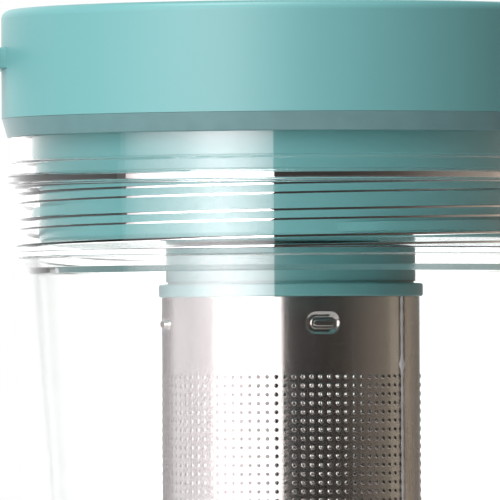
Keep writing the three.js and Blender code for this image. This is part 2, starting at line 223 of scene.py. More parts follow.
class VesselSizes(PropertyGroup):
    """Sizes of the two clear walls and of the threaded neck."""

    shell_foot_radius: length("Foot radius", "Outside of the shell at the base", 32.0)
    shell_wall: length("Shell wall", "Thickness of the outer wall", 1.2)
    shell_floor: length("Shell floor", "Thickness of the shell's floor", 3.0)
    shell_foot_round: length("Foot rounding", "Rounding of the shell's bottom edge", 3.0)
    shell_lip_round: length("Lip rounding", "Rounding of the shell's top edges", 0.15)
    liner_wall: length("Liner wall", "Thickness of the inner wall", 1.3)
    liner_floor: length("Liner floor", "Thickness of the liner's floor", 2.0)
    liner_foot_radius: length("Liner foot", "Inside of the liner at its floor", 24.5)
    liner_foot_round: length("Liner rounding", "Rounding between the liner's wall and floor", 5.0)
    bore_radius: length("Bore", "Inside of the liner under the neck", 34.4)
    shoulder_height: length("Shoulder", "Stretch of the liner inside the shell's top", 2.6)
    joint_drop: length("Joint drop", "Shell's edge below the top of its solid", 1.3)
    joint_gap: length("Joint gap", "Air between shell and shoulder", 0.08)
    ledge_height: length("Ledge", "Floor of the threaded neck above the joint", 0.9)
    ledge_round: length("Ledge rounding", "Rounding of the ledge's edges", 0.1)
    weld_slope: length("Weld slope", "Slope under the shoulder", 0.8)
    wall_round: length("Wall rounding", "Rounding where the bore starts to taper", 3.0)
    mouth_radius: length("Mouth", "Plain bore inside the rim", 35.95)
    mouth_depth: length("Mouth depth", "Plain bore above the thread", 5.4)
    rib_depth: length("Rib", "Rib under the plain bore", 0.5)
    rib_round: length("Rib rounding", "Rounding at the rib's roots", 0.7)
    rim_rise: length("Rim rise", "Rim above the gasket's skirt", 0.6)
    rim_band: length("Rim band", "Plain band from rim to bead", 3.6)
    bead_height: length("Bead height", "Height of the bead round the neck", 3.0)
    bead_step: length("Bead step", "Bead beyond the rim band", 0.6)
    bead_round: length("Bead rounding", "Rounding of the bead's upper edge", 0.29)
    band_proud: length("Band", "Band round the bead, beyond it", 0.17)
    band_face: length("Band face", "Half the height of the band's face", 0.45)
    band_foot: length("Band foot", "Half the height of the band at its foot", 0.64)
    band_round: length("Band rounding", "Rounding of the band's edges", 0.08)
    edge_round: length("Edge rounding", "Rounding of the neck's outer edges", 0.28)
    root_radius: length("Thread root", "Inside of the neck between the ridges", 36.4)
    crest_radius: length("Thread crest", "Inside of the ridges", 34.5)
    thread_pitch: length("Pitch", "Rise of the thread in one turn", 3.5)
    ridge_base: length("Ridge base", "Height of the ridge at its root", 1.55)
    ridge_crest: length("Ridge crest", "Height of the ridge at its crest", 0.82)
    ridge_chamfer: length("Ridge chamfer", "Chamfer between ridge and neck", 0.28)
    ridge_start: angle("Thread start", "Where the ridge leaves the ledge", 104.0)
    ridge_run_out: angle("Thread run-out", "Turn over which the ridge fades", 20.0)


class LidSizes(PropertyGroup):
    """Sizes of the lid's cap, gasket, plug and carry loop."""

    gasket_play: length("Gasket play", "Air round the gasket", 0.03)
    gasket_taper: length("Gasket taper", "Gasket's lower edge inside its upper edge", 0.72)
    gasket_round: length("Gasket rounding", "Rounding of the gasket's edges", 0.22)
    skirt_drop: length("Skirt drop", "Gasket's skirt below the top of the rim band", 0.12)
    cap_wall: length("Cap wall", "Thickness of the cap's wall", 2.2)
    cap_top: length("Cap top", "Thickness of the cap's top", 2.4)
    cap_round: length("Cap rounding", "Rounding of the cap's top edge", 1.2)
    hem_drop: length("Hem drop", "Hem closed down on the gasket", 0.3)
    hem_round: length("Hem rounding", "Rounding of the cap's lower edge", 0.04)
    gasket_inset: length("Gasket inset", "Gasket's upper edge inside the cap", 0.04)
    plug_radius: length("Plug radius", "Threaded part of the plug", 34.1)
    plug_wall: length("Plug wall", "Thickness of the plug's wall", 2.0)
    plug_floor: length("Plug floor", "Thickness of the plug's floor", 2.2)
    plug_round: length("Plug rounding", "Rounding of the plug's lower edge", 0.8)
    plug_edge: length("Plug edge", "Rounding of the plug's other edges", 0.25)
    collar_radius: length("Collar radius", "Plug's collar in the mouth", 35.0)
    collar_depth: length("Collar depth", "Collar below the rim", 3.3)
    step_proud: length("Step", "Rounded step under the collar", 0.4)
    flange_height: length("Flange", "Plug's flange inside the cap", 1.6)
    lug_count: count("Lugs", "Thread lugs on the plug", 3)
    lug_span: angle("Lug span", "Turn that a lug covers", 50.0)
    lug_lead: angle("Lug lead", "Middle of the first lug past the thread's start", 201.0)
    lug_radius: length("Lug radius", "Outside of the lugs", 35.1)
    lug_height: length("Lug height", "Height of a lug at its tip", 1.2)
    lug_foot: length("Lug foot", "Height of a lug at its root", 1.5)
    lug_run_out: angle("Lug run-out", "Turn over which a lug fades", 10.0)
    loop_strap: length("Strap", "Width of the loop's strap", 4.6)
    loop_bridge: length("Bridge", "Loop between cap and finger hole", 3.0)
    loop_tongue: length("Tongue", "Half the width of the tongue in the slot", 8.0)
    loop_anchor: angle("Anchor", "Half the turn of the loop's anchor inside the cap", 18.0)
    loop_round: length("Loop rounding", "Rounding of the loop's edges", 0.7)
    slot_gap: length("Slot gap", "Air between the loop's tongue and its slot", 0.06)
    seat_gap: length("Seat gap", "Air between pieces that touch", 0.3)


class InfuserSizes(PropertyGroup):
    """Sizes of the holder and of the steel basket."""

    basket_radius: length("Basket radius", "Outside of the rolled sheet", 17.5)
    basket_wall: length("Sheet", "Thickness of the rolled sheet", 0.5)
    holder_inset: length("Collar inset", "Holder's collar inside the basket's radius", 0.6)
    flange_proud: length("Flange proud", "Holder's flange beyond the basket", 0.4)
    flange_height: length("Flange height", "Height of the holder's flange", 1.8)
    collar_height: length("Collar height", "Height of the holder's collar", 5.6)
    groove: length("Groove", "Groove between the holder's collar and flange", 0.25)
    holder_round: length("Holder rounding", "Rounding of the holder's edges", 0.3)
    spigot_play: length("Spigot play", "Air between spigot and basket", 0.4)
    spigot_wall: length("Spigot wall", "Thickness of the spigot", 1.8)
    ceiling: length("Ceiling", "Thickness of the holder's top", 2.4)
    stem_radius: length("Stem", "Stem clipped in the plug's floor", 12.0)
    stem_lip: length("Stem lip", "Clip on the stem", 1.2)
    top_gap: length("Top gap", "Air between the sheet and the holder's flange", 0.05)
    plain_band: length("Plain band", "Sheet above the holes", 9.9)
    plain_foot: length("Plain foot", "Sheet below the holes", 2.6)
    hole_pitch: length("Hole pitch", "Distance between the holes", 1.19)
    hole_radius: length("Hole radius", "Radius of a hole", 0.26)
    burr_radius: length("Burr radius", "Foot of the raised edge round a hole", 0.34)
    burr_height: length("Burr height", "Raised edge round a hole", 0.05)
    dimple_count: count("Dimples", "Pressed dimples", 4)
    dimple_start: angle("First dimple", "Direction of the first dimple", -76.0)
    dimple_drop: length("Dimple drop", "Dimples below the holder's flange", 3.6)
    dimple_width: length("Dimple width", "Half the width of the dent round a dimple", 2.6)
    dimple_height: length("Dimple height", "Half the height of the dent round a dimple", 1.65)
    dimple_depth: length("Dimple depth", "Dent round a dimple, into the sheet", 0.33)
    dimple_slope: length("Dimple slope", "Width of the dent's sloping edge", 0.95)
    peg_width: length("Peg width", "Half the width of the raised middle", 1.75)
    peg_height: length("Peg height", "Half the height of the raised middle", 0.8)
    peg_proud: length("Peg proud", "Raised middle beyond the sheet", 0.42)
    peg_slope: length("Peg slope", "Width of the raised middle's edge", 0.45)
    seam_angle: angle("Seam", "Direction of the welded seam", -32.3)
    seam_width: length("Seam width", "Half the width of the weld", 0.33)
    seam_proud: length("Seam proud", "Weld beyond the sheet", 0.14)
    knot_drop: length("Knot drop", "Weld's knot below the top of the basket", 9.2)
    knot_size: length("Knot size", "Half the height of the weld's knot", 0.6)
    lap_columns: count("Lap", "Columns without holes beside the seam", 6, least=0)
    foot_pitch: length("Foot pitch", "Distance between the holes in the foot", 1.6)
    foot_hole_radius: length("Foot hole radius", "Radius of a hole in the foot", 0.4)
    foot_margin: length("Foot margin", "Foot's edge without holes", 2.2)
    foot_wall: length("Foot wall", "Thickness of the foot", 0.6)
    foot_round: length("Foot rounding", "Rounding of the foot's edge", 0.8)


class Finishes(PropertyGroup):
    """Colours and finishes of the materials."""

    teal: colour("Teal", "Colour of the lid and holder", (0.153, 0.414, 0.416))
    teal_light: colour("Light teal", "Paler cast where the plastic flowed", (0.163, 0.429, 0.431))
    clear: colour("Clear", "Tint of the clear walls", (0.985, 0.993, 0.990))
    clear_shade: colour("Clear shade", "Lamplight that a clear wall lets through", (0.960, 0.970, 0.970))
    silicone: colour("Silicone", "Colour of the gasket", (0.141, 0.289, 0.297))
    steel: colour("Steel", "Colour of the bright steel", (0.640, 0.620, 0.600))
    steel_heat: colour("Heat tint", "Steel beside the weld", (0.540, 0.480, 0.410))
    scorch: colour("Scorch", "Steel along both sides of the weld", (0.230, 0.195, 0.180))
    # The weld's pale grey is partly its own colour and partly a painted highlight
    weld: colour("Weld", "Weld metal", (0.860, 0.825, 0.830))
    floor: colour("Floor", "Colour of the floor", (0.860, 0.860, 0.855))


class StageSettings(PropertyGroup):
    """Camera, lamps and floor."""

    eye_height: length("Eye height", "Height of the camera", 150.0)
    eye_distance: length("Eye distance", "Camera to the flask's axis", 1500.0)
    aim_height: length("Aim height", "Height at the picture's centre", 167.4)
    aim_left: length("Aim left", "Picture's centre, left of the flask's axis", 5.5)
    picture_width: length("Picture width", "Width of the picture at the axis", 67.75)
    roll: angle("Roll", "Turn of the camera about its view", -0.35)
    softbox_near: angle("Softbox near edge", "Softbox edge beside the camera", 7.0)
    softbox_far: angle("Softbox far edge", "Softbox edge at the side", 73.0)
    softbox_distance: length("Softbox distance", "Softbox to the flask", 1100.0)
    softbox_drop: length("Softbox drop", "Lower edge of the softbox below the floor", 150.0)
    softbox_high: length("Softbox head", "Upper edge of the softbox", 1000.0)
    softbox_level: brightness("Softbox level", "Brightness of the softbox", 5.3)
    softbox_tint: colour("Softbox tint", "Colour of the softbox's light", (1.0, 0.905, 0.92))
    overhead_level: brightness("Top level", "Brightness of the top lamp", 11.0)
    overhead_left: length("Top lamp left", "Top lamp, left of the flask", 400.0)
    overhead_front: length("Top lamp front", "Top lamp, in front of the flask", 300.0)
    overhead_height: length("Top lamp height", "Top lamp above the floor", 1550.0)
    overhead_size: length("Top lamp size", "Width of the square top lamp", 700.0)
    ambient: brightness("Ambient", "Light from all round", 0.055)
    backdrop: brightness("Backdrop", "White round the flask, in reflections and through clear walls", 1.9)
    floor_radius: length("Floor radius", "Radius of the floor", 600.0)


class Signal:
    """A node's socket that can be used in arithmetic."""

    def __init__(self, nodes, socket):
        self.nodes = nodes
        self.socket = socket

    def math(self, operation, *values):
        return self.nodes.node("ShaderNodeMath", {"operation": operation}, *values)

    def __add__(self, other):
        return self.math("ADD", self, other)

    def __sub__(self, other):
        return self.math("SUBTRACT", self, other)

    def __rsub__(self, other):
        return self.math("SUBTRACT", other, self)

    def __mul__(self, other):
        return self.math("MULTIPLY", self, other)

    def __truediv__(self, other):
        return self.math("DIVIDE", self, other)

    def __rtruediv__(self, other):
        return self.math("DIVIDE", other, self)

    def __gt__(self, other):
        return self.math("GREATER_THAN", self, other)

    def __lt__(self, other):
        return self.math("LESS_THAN", self, other)

    __radd__ = __add__
    __rmul__ = __mul__

    def between(self, low, high):
        """0 up to low, 1 from high, and a smooth step between them."""
        settings = {"interpolation_type": "SMOOTHSTEP"}
        return self.nodes.node("ShaderNodeMapRange", settings, self, low, high)

    def swing(self, size):
        """A texture's swing of this size about its middle."""
        return size * (self - 0.5)


class Nodes:
    """Builds one node tree."""

    def __init__(self, tree):
        self.tree = tree
        self.tree.nodes.clear()

    def node(self, kind, settings, *values, output=0, **named):
        """Adds a node, sets it up, feeds its sockets and returns one of its outputs, if it has any."""
        node = self.tree.nodes.new(kind)
        for name, value in settings.items():
            if name == "stops":
                self.set_stops(node.color_ramp, value)
            else:
                setattr(node, name, value)
        for key, value in (*enumerate(values), *named.items()):
            self.feed(node.inputs[key], value)
        return Signal(self, node.outputs[output]) if node.outputs else None

    def set_stops(self, ramp, stops):
        while len(ramp.elements) < len(stops):
            ramp.elements.new(1.0)
        for element, (position, value) in zip(ramp.elements, stops):
            element.position = position
            element.color = (*value, 1.0)

    def feed(self, socket, value):
        if isinstance(value, Signal):
            self.tree.links.new(value.socket, socket)
        elif socket.type == "RGBA":
            socket.default_value = (*value, 1.0)
        else:
            socket.default_value = value


class Paint(Nodes):
    """Builds the nodes of a material, a lamp or the surroundings."""

    def separate(self, vector):
        node = self.node("ShaderNodeSeparateXYZ", {}, vector).socket.node
        return [Signal(self, output) for output in node.outputs]

    def place(self):
        return self.node("ShaderNodeTexCoord", {}, output="Object")

    def ray(self, fact):
        return self.node("ShaderNodeLightPath", {}, output=fact)

    def noise(self, vector, scale, detail, stretch=None):
        if stretch:
            vector = self.node("ShaderNodeMapping", {}, vector, Scale=stretch)
        return self.node("ShaderNodeTexNoise", {}, vector, Scale=scale, Detail=detail)

    def ramp(self, stops, value):
        return self.node("ShaderNodeValToRGB", {"stops": stops}, value)

    def blend(self, factor, first, second):
        """A mix of two colours, through the colour sockets of a Mix node."""
        node = self.node("ShaderNodeMix", {"data_type": "RGBA"}, factor).socket.node
        colours = [socket for socket in node.inputs if socket.type == "RGBA"]
        for socket, value in zip(colours, (first, second)):
            self.feed(socket, value)
        return next(Signal(self, socket) for socket in node.outputs if socket.type == "RGBA")

    def mix(self, factor, first, second):
        return self.node("ShaderNodeMixShader", {}, factor, first, second)

    def bump(self, height, strength, depth):
        return self.node("ShaderNodeBump", {}, Height=height, Strength=strength, Distance=depth)

    def shader(self, IOR=PLASTIC_IOR, **sockets):
        named = {name.replace("_", " "): value for name, value in sockets.items()}
        return self.node("ShaderNodeBsdfPrincipled", {}, IOR=IOR, **named)

    def surface(self, shader):
        self.node("ShaderNodeOutputMaterial", {}, Surface=shader)


def new_paint(name):
    """A new material and the paint for its nodes."""
    material = bpy.data.materials.new(name)
    material.use_nodes = True
    return material, Paint(material.node_tree)


def tint(name):
    """The colour of a finish."""
    return tuple(getattr(bpy.context.scene.flask_finishes, name))


def dimmed(tone, share):
    """A share of a colour."""
    return tuple(share * part for part in tone)


def greys(stops):
    """The stops of a ramp from (position, grey) pairs."""
    return [(position, (grey, grey, grey)) for position, grey in stops]


def moulded_teal(name, roughness):
    """Satin coloured plastic with a fine eroded texture and a faint flow cast."""
    material, paint = new_paint(name)
    place = paint.place()
    flow = paint.noise(place, scale=28.0, detail=3.0, stretch=(1.0, 1.0, 0.35))
    grain = paint.noise(place, scale=3600.0, detail=2.0)
    paint.surface(
        paint.shader(
            Base_Color=paint.blend(flow.between(0.35, 0.7), tint("teal"), tint("teal_light")),
            Roughness=roughness + grain.swing(0.06) + flow.swing(0.05),
            Normal=paint.bump(grain, strength=0.25, depth=0.02 * MM),
        )
    )
    return material


def polished_clear():
    """Polished clear plastic. Light from the lamps and off dull surfaces goes straight through it."""
    material, paint = new_paint("polished_clear")
    ripple = paint.noise(paint.place(), scale=55.0, detail=1.0)
    glass = paint.shader(
        Base_Color=tint("clear"),
        Roughness=0.0,
        IOR=CLEAR_IOR,
        Transmission_Weight=1.0,
        Normal=paint.bump(ripple, strength=0.06, depth=0.2 * MM),
    )
    through = paint.node("ShaderNodeBsdfTransparent", {}, tint("clear_shade"))
    dull = paint.mix(paint.ray("Is Diffuse Ray"), glass, through)
    paint.surface(paint.mix(paint.ray("Is Shadow Ray"), dull, through))
    return material


def cloudy_silicone():
    """Cloudy elastomer with a soft gloss."""
    material, paint = new_paint("cloudy_silicone")
    cloud = paint.noise(paint.place(), scale=240.0, detail=3.0)
    pale = tint("silicone")
    paint.surface(
        paint.shader(
            Base_Color=paint.blend(cloud.between(0.3, 0.7), dimmed(pale, CLOUD_DIM), pale),
            Roughness=0.36 + cloud.swing(0.08),
            Normal=paint.bump(cloud, strength=0.1, depth=0.05 * MM),
        )
    )
    return material


def rolled_steel():
    """Bright rolled sheet, with faint streaks along the basket and a heat tint beside the weld."""
    sizes = bpy.context.scene.flask_infuser
    material, paint = new_paint("rolled_steel")
    place = paint.place()
    across, along, _ = paint.separate(place)

    def facing(turn):
        """1 where the sheet faces this way, and the cosine of the turn away from it elsewhere."""
        return (across * math.cos(turn) + along * math.sin(turn)) / sizes.basket_radius

    streaks = paint.noise(place, scale=1.0, detail=3.0, stretch=(900.0, 900.0, 15.0))
    stains = paint.noise(place, scale=480.0, detail=2.0, stretch=(1.0, 1.0, 0.2))
    lap = sizes.lap_columns * sizes.hole_pitch / sizes.basket_radius
    beside = facing(sizes.seam_angle + lap / 2)
    strip = beside.between(math.cos(HEAT_OUTER * lap), math.cos(HEAT_INNER * lap))
    heat = strip * (HEAT_LEAST + (1.0 - HEAT_LEAST) * stains.between(0.3, 0.75))
    scorch = facing(sizes.seam_angle).between(math.cos(SCORCH_END), math.cos(SCORCH_START))
    heated = paint.blend(heat, tint("steel"), tint("steel_heat"))
    paint.surface(
        paint.shader(
            Base_Color=paint.blend(scorch, heated, tint("scorch")),
            Metallic=1.0,
            Roughness=0.13 + streaks.swing(0.06) + 0.16 * heat,
            Normal=paint.bump(streaks, strength=0.5, depth=0.02 * MM),
        )
    )
    return material


def weld_bead():
    """Dull, part-metallic weld metal in a pale grey. The pale grey is partly the weld's own colour and
    partly a painted highlight, standing in for the light that its bead reflects.
    """
    material, paint = new_paint("weld_bead")
    crust = paint.noise(paint.place(), scale=2200.0, detail=2.0)
    paint.surface(
        paint.shader(
            Base_Color=tint("weld"),
            Metallic=0.3,
            Roughness=0.5 + crust.swing(0.2),
            Normal=paint.bump(crust, strength=0.3, depth=0.02 * MM),
        )
    )
    return material


MAKERS = {
    "polished_clear": polished_clear,
    "cloudy_silicone": cloudy_silicone,
    "rolled_steel": rolled_steel,
    "weld_bead": weld_bead,
    "satin_teal": lambda: moulded_teal("satin_teal", roughness=0.42),
    "smooth_teal": lambda: moulded_teal("smooth_teal", roughness=0.3),
    "glossy_teal": lambda: moulded_teal("glossy_teal", roughness=0.15),
}


def finish_of(name):
    """The material of that name, made when it is first asked for."""
    return bpy.data.materials.get(name) or MAKERS[name]()


def rounded(corners):
    """Points of an outline through (x, y, rounding) corners, which closes on itself.
    A point close beside each rounding keeps the straight faces shaded flat."""
    points = []
    spots = [Vector(corner[:2]) for corner in corners]
    for i, spot in enumerate(spots):
        rounding = corners[i][2] if len(corners[i]) > 2 else 0.0
        back = spots[i - 1] - spot
        ahead = spots[(i + 1) % len(spots)] - spot
        if rounding == 0.0:
            points.append(spot)
            continue
        half = back.angle(ahead) / 2
        reach = min(rounding / math.tan(half), EDGE_SHARE * back.length, EDGE_SHARE * ahead.length)
        back.normalize()
        ahead.normalize()
        start = spot + back * reach
        end = spot + ahead * reach
        middle = spot + (back + ahead).normalized() * reach / math.cos(half)
        first = start - middle
        turn = first.angle_signed(end - middle)
        points.append(start + back * reach * GUARD_SHARE)
        for step in range(ROUND_STEPS + 1):
            points.append(middle + Matrix.Rotation(-turn * step / ROUND_STEPS, 2) @ first)
        points.append(end + ahead * reach * GUARD_SHARE)
    return [tuple(point) for point in points]


def written(work, mesh):
    """The mesh, holding what was worked out on it."""
    work.to_mesh(mesh)
    work.free()
    return mesh


def mesh_from(name, vertices, faces):
    """A welded mesh whose faces point outwards."""
    mesh = bpy.data.meshes.new(name)
    mesh.from_pydata(vertices, [], faces)
    work = bmesh.new()
    work.from_mesh(mesh)
    bmesh.ops.remove_doubles(work, verts=work.verts, dist=WELD)
    bmesh.ops.recalc_face_normals(work, faces=work.faces)
    return written(work, mesh)


def grid_faces(rows, columns, wrap_rows, wrap_columns):
    """Quads of a grid whose points run row by row."""
    faces = []
    for row in range(rows if wrap_rows else rows - 1):
        below = (row + 1) % rows
        for column in range(columns if wrap_columns else columns - 1):
            beside = (column + 1) % columns
            faces.append(
                (
                    row * columns + column,
                    below * columns + column,
                    below * columns + beside,
                    row * columns + beside,
                )
            )
    return faces


def even_turns(segments):
    """Directions spread evenly round a circle."""
    return np.linspace(0.0, math.tau, segments, endpoint=False)


def revolved(name, corners, turns, bulge=None):
    """A piece turned about Z from (radius, height, rounding) corners. bulge adds to its radius."""
    outline = np.array(rounded(corners))
    on_axis = outline[0, 0] == 0.0 and outline[-1, 0] == 0.0
    shape = (len(turns), len(outline))
    radius = np.broadcast_to(outline[:, 0], shape)
    height = np.broadcast_to(outline[:, 1], shape)
    turns = turns[:, None]
    if bulge is not None:
        radius = radius + bulge(turns, radius, height)
    points = np.stack([radius * np.cos(turns), radius * np.sin(turns), height], axis=-1)
    faces = grid_faces(*shape, True, not on_axis)
    return mesh_from(name, points.reshape(-1, 3).tolist(), faces)


def on_circle(radius, turn, height):
    """A point at a radius, direction and height about Z."""
    return (radius * math.cos(turn), radius * math.sin(turn), height)


def closed_bar(name, vertices, sides):
    """A bar through sections of this many points each, closed at both ends."""
    faces = grid_faces(len(vertices) // sides, sides, False, True)
    faces.append(tuple(range(sides)))
    faces.append(tuple(range(len(vertices) - sides, len(vertices))))
    return mesh_from(name, vertices, faces)


def helix_bar(name, start, low, pitch, turns, section):
    """A closed bar that climbs a helix. section gives (radius, height) corners at a share of its run."""
    steps = max(2, math.ceil(turns * THREAD_SEGMENTS))
    vertices = []
    for step in range(steps + 1):
        part = step / steps
        turn = start + part * turns * math.tau
        for radius, height in section(part):
            vertices.append(on_circle(radius, turn, low + part * turns * pitch + height))
    return closed_bar(name, vertices, len(section(0.0)))


def fade(part, span, run_out):
    """0 at both ends of a bar and 1 along its middle."""
    return max(0.0, min(1.0, part * span / run_out, (1.0 - part) * span / run_out))


def add_object(name, data):
    """A new object of the scene for a mesh, a lamp or a camera."""
    piece = bpy.data.objects.new(name, data)
    bpy.context.scene.collection.objects.link(piece)
    return piece


def evaluated(piece):
    """A plain mesh of a piece with its modifiers worked out. The piece is removed."""
    view = bpy.context.evaluated_depsgraph_get()
    mesh = bpy.data.meshes.new_from_object(piece.evaluated_get(view))
    bpy.data.objects.remove(piece)
    return mesh


def combined(mesh, others, operation):
    """The mesh joined with or cut by other meshes."""
    piece = add_object("work", mesh)
    tools = [add_object("tool", other) for other in others]
    for tool in tools:
        modifier = piece.modifiers.new("Combine", "BOOLEAN")
        modifier.operation = operation
        modifier.solver = "EXACT"
        modifier.object = tool
    result = evaluated(piece)
    for tool in tools:
        bpy.data.objects.remove(tool)
    if not result.polygons:
        raise RuntimeError("A boolean left nothing of " + mesh.name)
    return result


def finished(name, mesh, material, body, slot, *nodes):
    """Adds a piece, gives it its finish and body, and lets it stand for its solids."""
    mesh.name = name
    mesh.materials.clear()
    mesh.materials.append(finish_of(material))
    mesh.shade_smooth()
    mesh.set_sharp_from_angle(angle=SHARP_ANGLE)
    piece = add_object(name, mesh)
    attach(piece, body)
    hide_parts(*nodes)
    return piece


def neck_foot(vessel):
    """Height of the neck's lower edge, just above the shell."""
    return SHELL_HIGH.z - vessel.joint_drop + vessel.joint_gap


def ledge_level(vessel):
    """Height of the ledge on which the thread starts."""
    return neck_foot(vessel) + vessel.ledge_height


def flange_level(lid, infuser):
    """Height of the lower face of the holder's flange, against which the basket sits."""
    return PLUG_LOW.z - lid.seat_gap - infuser.collar_height - infuser.flange_height


def shell_radius(height):
    """Outside of the shell and neck, one straight taper from the base."""
    foot = bpy.context.scene.flask_vessel.shell_foot_radius
    return foot + (SHELL_HIGH.x - foot) * height / SHELL_HIGH.z


class FLASK_OT_outer_shell(Operator):
    """Build the clear outer wall"""

    bl_idname = "flask.outer_shell"
    bl_label = "Outer Shell"

    def execute(self, context):
        sizes = context.scene.flask_vessel
        top = SHELL_HIGH.z - sizes.joint_drop
        floor = sizes.shell_floor
        lip = sizes.shell_lip_round
        corners = [
            (0.0, SHELL_LOW.z),
            (sizes.shell_foot_radius, SHELL_LOW.z, sizes.shell_foot_round),
            (shell_radius(top), top, lip),
            (shell_radius(top) - sizes.shell_wall, top, lip),
            (shell_radius(floor) - sizes.shell_wall, floor, sizes.shell_foot_round),
            (0.0, floor),
        ]
        mesh = revolved("shell", corners, even_turns(WIDE_SEGMENTS))
        finished("shell_wall", mesh, "polished_clear", "vessel", "clear_plastic", "outer_shell")
        return {"FINISHED"}


class FLASK_OT_inner_liner(Operator):
    """Build the clear inner cup with its threaded neck"""

    bl_idname = "flask.inner_liner"
    bl_label = "Inner Liner"

    def corners(self, sizes):
        """The cup's outline, from under its floor up the outside and down the inside."""
        rim = LINER_HIGH.z
        rim_top = rim + sizes.rim_rise
        bead = LINER_HIGH.x
        neck = neck_foot(sizes)
        ledge = ledge_level(sizes)
        bead_top = rim - sizes.rim_band
        bead_low = bead_top - sizes.bead_height
        mouth_low = rim - sizes.mouth_depth
        shoulder = SHELL_HIGH.z - sizes.shoulder_height
        wall_top = shoulder - sizes.weld_slope
        rib = sizes.mouth_radius - sizes.rib_depth
        apex = mouth_low - sizes.rib_depth
        floor = LINER_LOW.z
        edge = sizes.edge_round
        seat = sizes.shell_wall + sizes.joint_gap
        return [
            (0.0, floor),
            (sizes.liner_foot_radius + sizes.liner_wall, floor, sizes.liner_foot_round),
            (sizes.bore_radius + sizes.liner_wall, wall_top, edge),
            (shell_radius(shoulder) - seat, shoulder, edge),
            (shell_radius(neck) - seat, neck),
            (shell_radius(neck), neck, edge / 2),
            (shell_radius(bead_low), bead_low, edge),
            (bead, bead_low, edge),
            (bead, apex - sizes.band_foot, sizes.band_round),
            (bead + sizes.band_proud, apex - sizes.band_face, sizes.band_round),
            (bead + sizes.band_proud, apex + sizes.band_face, sizes.band_round),
            (bead, apex + sizes.band_foot, sizes.band_round),
            (bead, bead_top, sizes.bead_round),
            (bead - sizes.bead_step, bead_top, sizes.bead_round),
            (bead - sizes.bead_step, rim_top, edge),
            (sizes.mouth_radius, rim_top, edge),
            (sizes.mouth_radius, mouth_low, sizes.rib_round),
            (rib, apex),
            (sizes.root_radius, apex - (sizes.root_radius - rib), sizes.rib_round),
            (sizes.root_radius, ledge, sizes.ledge_round),
            (sizes.bore_radius, ledge, sizes.ledge_round),
            (sizes.bore_radius, wall_top, sizes.wall_round),
            (sizes.liner_foot_radius, floor + sizes.liner_floor, sizes.liner_foot_round),
            (0.0, floor + sizes.liner_floor),
        ]

    def ridge(self, sizes):
        """The thread's ridge inside the neck, from the ledge up to the plain bore."""
        base = sizes.ridge_base / 2
        low = ledge_level(sizes) - base
        high = LINER_HIGH.z - sizes.mouth_depth - base
        turns = (high - low) / sizes.thread_pitch
        span = turns * math.tau
        flank = base - sizes.ridge_chamfer
        crest = sizes.ridge_crest / 2

        def section(part):
            depth = fade(part, span, sizes.ridge_run_out)
            tip = sizes.root_radius + (sizes.crest_radius - sizes.root_radius) * depth
            knee = sizes.root_radius - sizes.ridge_chamfer * depth
            back = sizes.root_radius + BURY
            return [
                (back, -base),
                (sizes.root_radius, -base),
                (knee, -flank),
                (tip, -crest),
                (tip, crest),
                (knee, flank),
                (sizes.root_radius, base),
                (back, base),
            ]

        return helix_bar("ridge", sizes.ridge_start, low, sizes.thread_pitch, turns, section)

    def execute(self, context):
        sizes = context.scene.flask_vessel
        cup = revolved("liner", self.corners(sizes), even_turns(WIDE_SEGMENTS))
        mesh = combined(cup, [self.ridge(sizes)], "UNION")
        finished("liner_and_neck", mesh, "polished_clear", "vessel", "clear_plastic", "inner_liner")
        return {"FINISHED"}


class FLASK_OT_rim_gasket(Operator):
    """Build the soft ring between lid and rim"""

    bl_idname = "flask.rim_gasket"
    bl_label = "Rim Gasket"

    def execute(self, context):
        vessel = context.scene.flask_vessel
        sizes = context.scene.flask_lid
        low = LINER_HIGH.z + vessel.rim_rise + sizes.gasket_play
        high = LID_LOW.z - sizes.hem_drop - sizes.gasket_play
        skirt = LINER_HIGH.z - sizes.skirt_drop
        skirt_bore = LINER_HIGH.x - vessel.bead_step + sizes.gasket_play
        inside = sizes.collar_radius + sizes.seat_gap
        outside = LID_HIGH.x - sizes.gasket_inset
        corners = [
            (inside, low),
            (skirt_bore, low),
            (skirt_bore, skirt),
            (outside - sizes.gasket_taper, skirt, sizes.gasket_round),
            (outside, high),
            (inside, high),
        ]
        mesh = revolved("gasket", corners, even_turns(WIDE_SEGMENTS))
        finished("gasket_ring", mesh, "cloudy_silicone", "gasket", "clear_silicone", "rim_gasket")
        return {"FINISHED"}


class FLASK_OT_lid_cap(Operator):
    """Build the lid's outer shell with the slot for the carry loop"""

    bl_idname = "flask.lid_cap"
    bl_label = "Lid Cap"

    def slot(self, sizes):
        """A block that cuts the slot for the loop's tongue."""
        half = sizes.loop_tongue + sizes.slot_gap
        bore = LID_HIGH.x - sizes.cap_wall
        near = math.sqrt(bore**2 - half**2) - BURY
        far = LID_HIGH.x + BURY
        low = LOOP_LOW.z - sizes.slot_gap
        high = LOOP_HIGH.z + sizes.slot_gap
        corners = [(-x, y, z) for x in (near, far) for y in (-half, half) for z in (low, high)]
        faces = [(0, 1, 3, 2), (4, 6, 7, 5), (0, 4, 5, 1), (2, 3, 7, 6), (0, 2, 6, 4), (1, 5, 7, 3)]
        return mesh_from("slot", corners, faces)

    def execute(self, context):
        sizes = context.scene.flask_lid
        hem = LID_LOW.z - sizes.hem_drop
        top = LID_HIGH.z
        bore = LID_HIGH.x - sizes.cap_wall
        corners = [
            (bore, hem, sizes.hem_round),
            (LID_HIGH.x, hem, sizes.hem_round),
            (LID_HIGH.x, top, sizes.cap_round),
            (0.0, top),
            (0.0, top - sizes.cap_top),
            (bore, top - sizes.cap_top, sizes.cap_round),
        ]
        cap = revolved("cap", corners, even_turns(WIDE_SEGMENTS))
        mesh = combined(cap, [self.slot(sizes)], "DIFFERENCE")
        finished("lid_cap_shell", mesh, "satin_teal", "lid", "teal_plastic", "lid_cap")
        return {"FINISHED"}


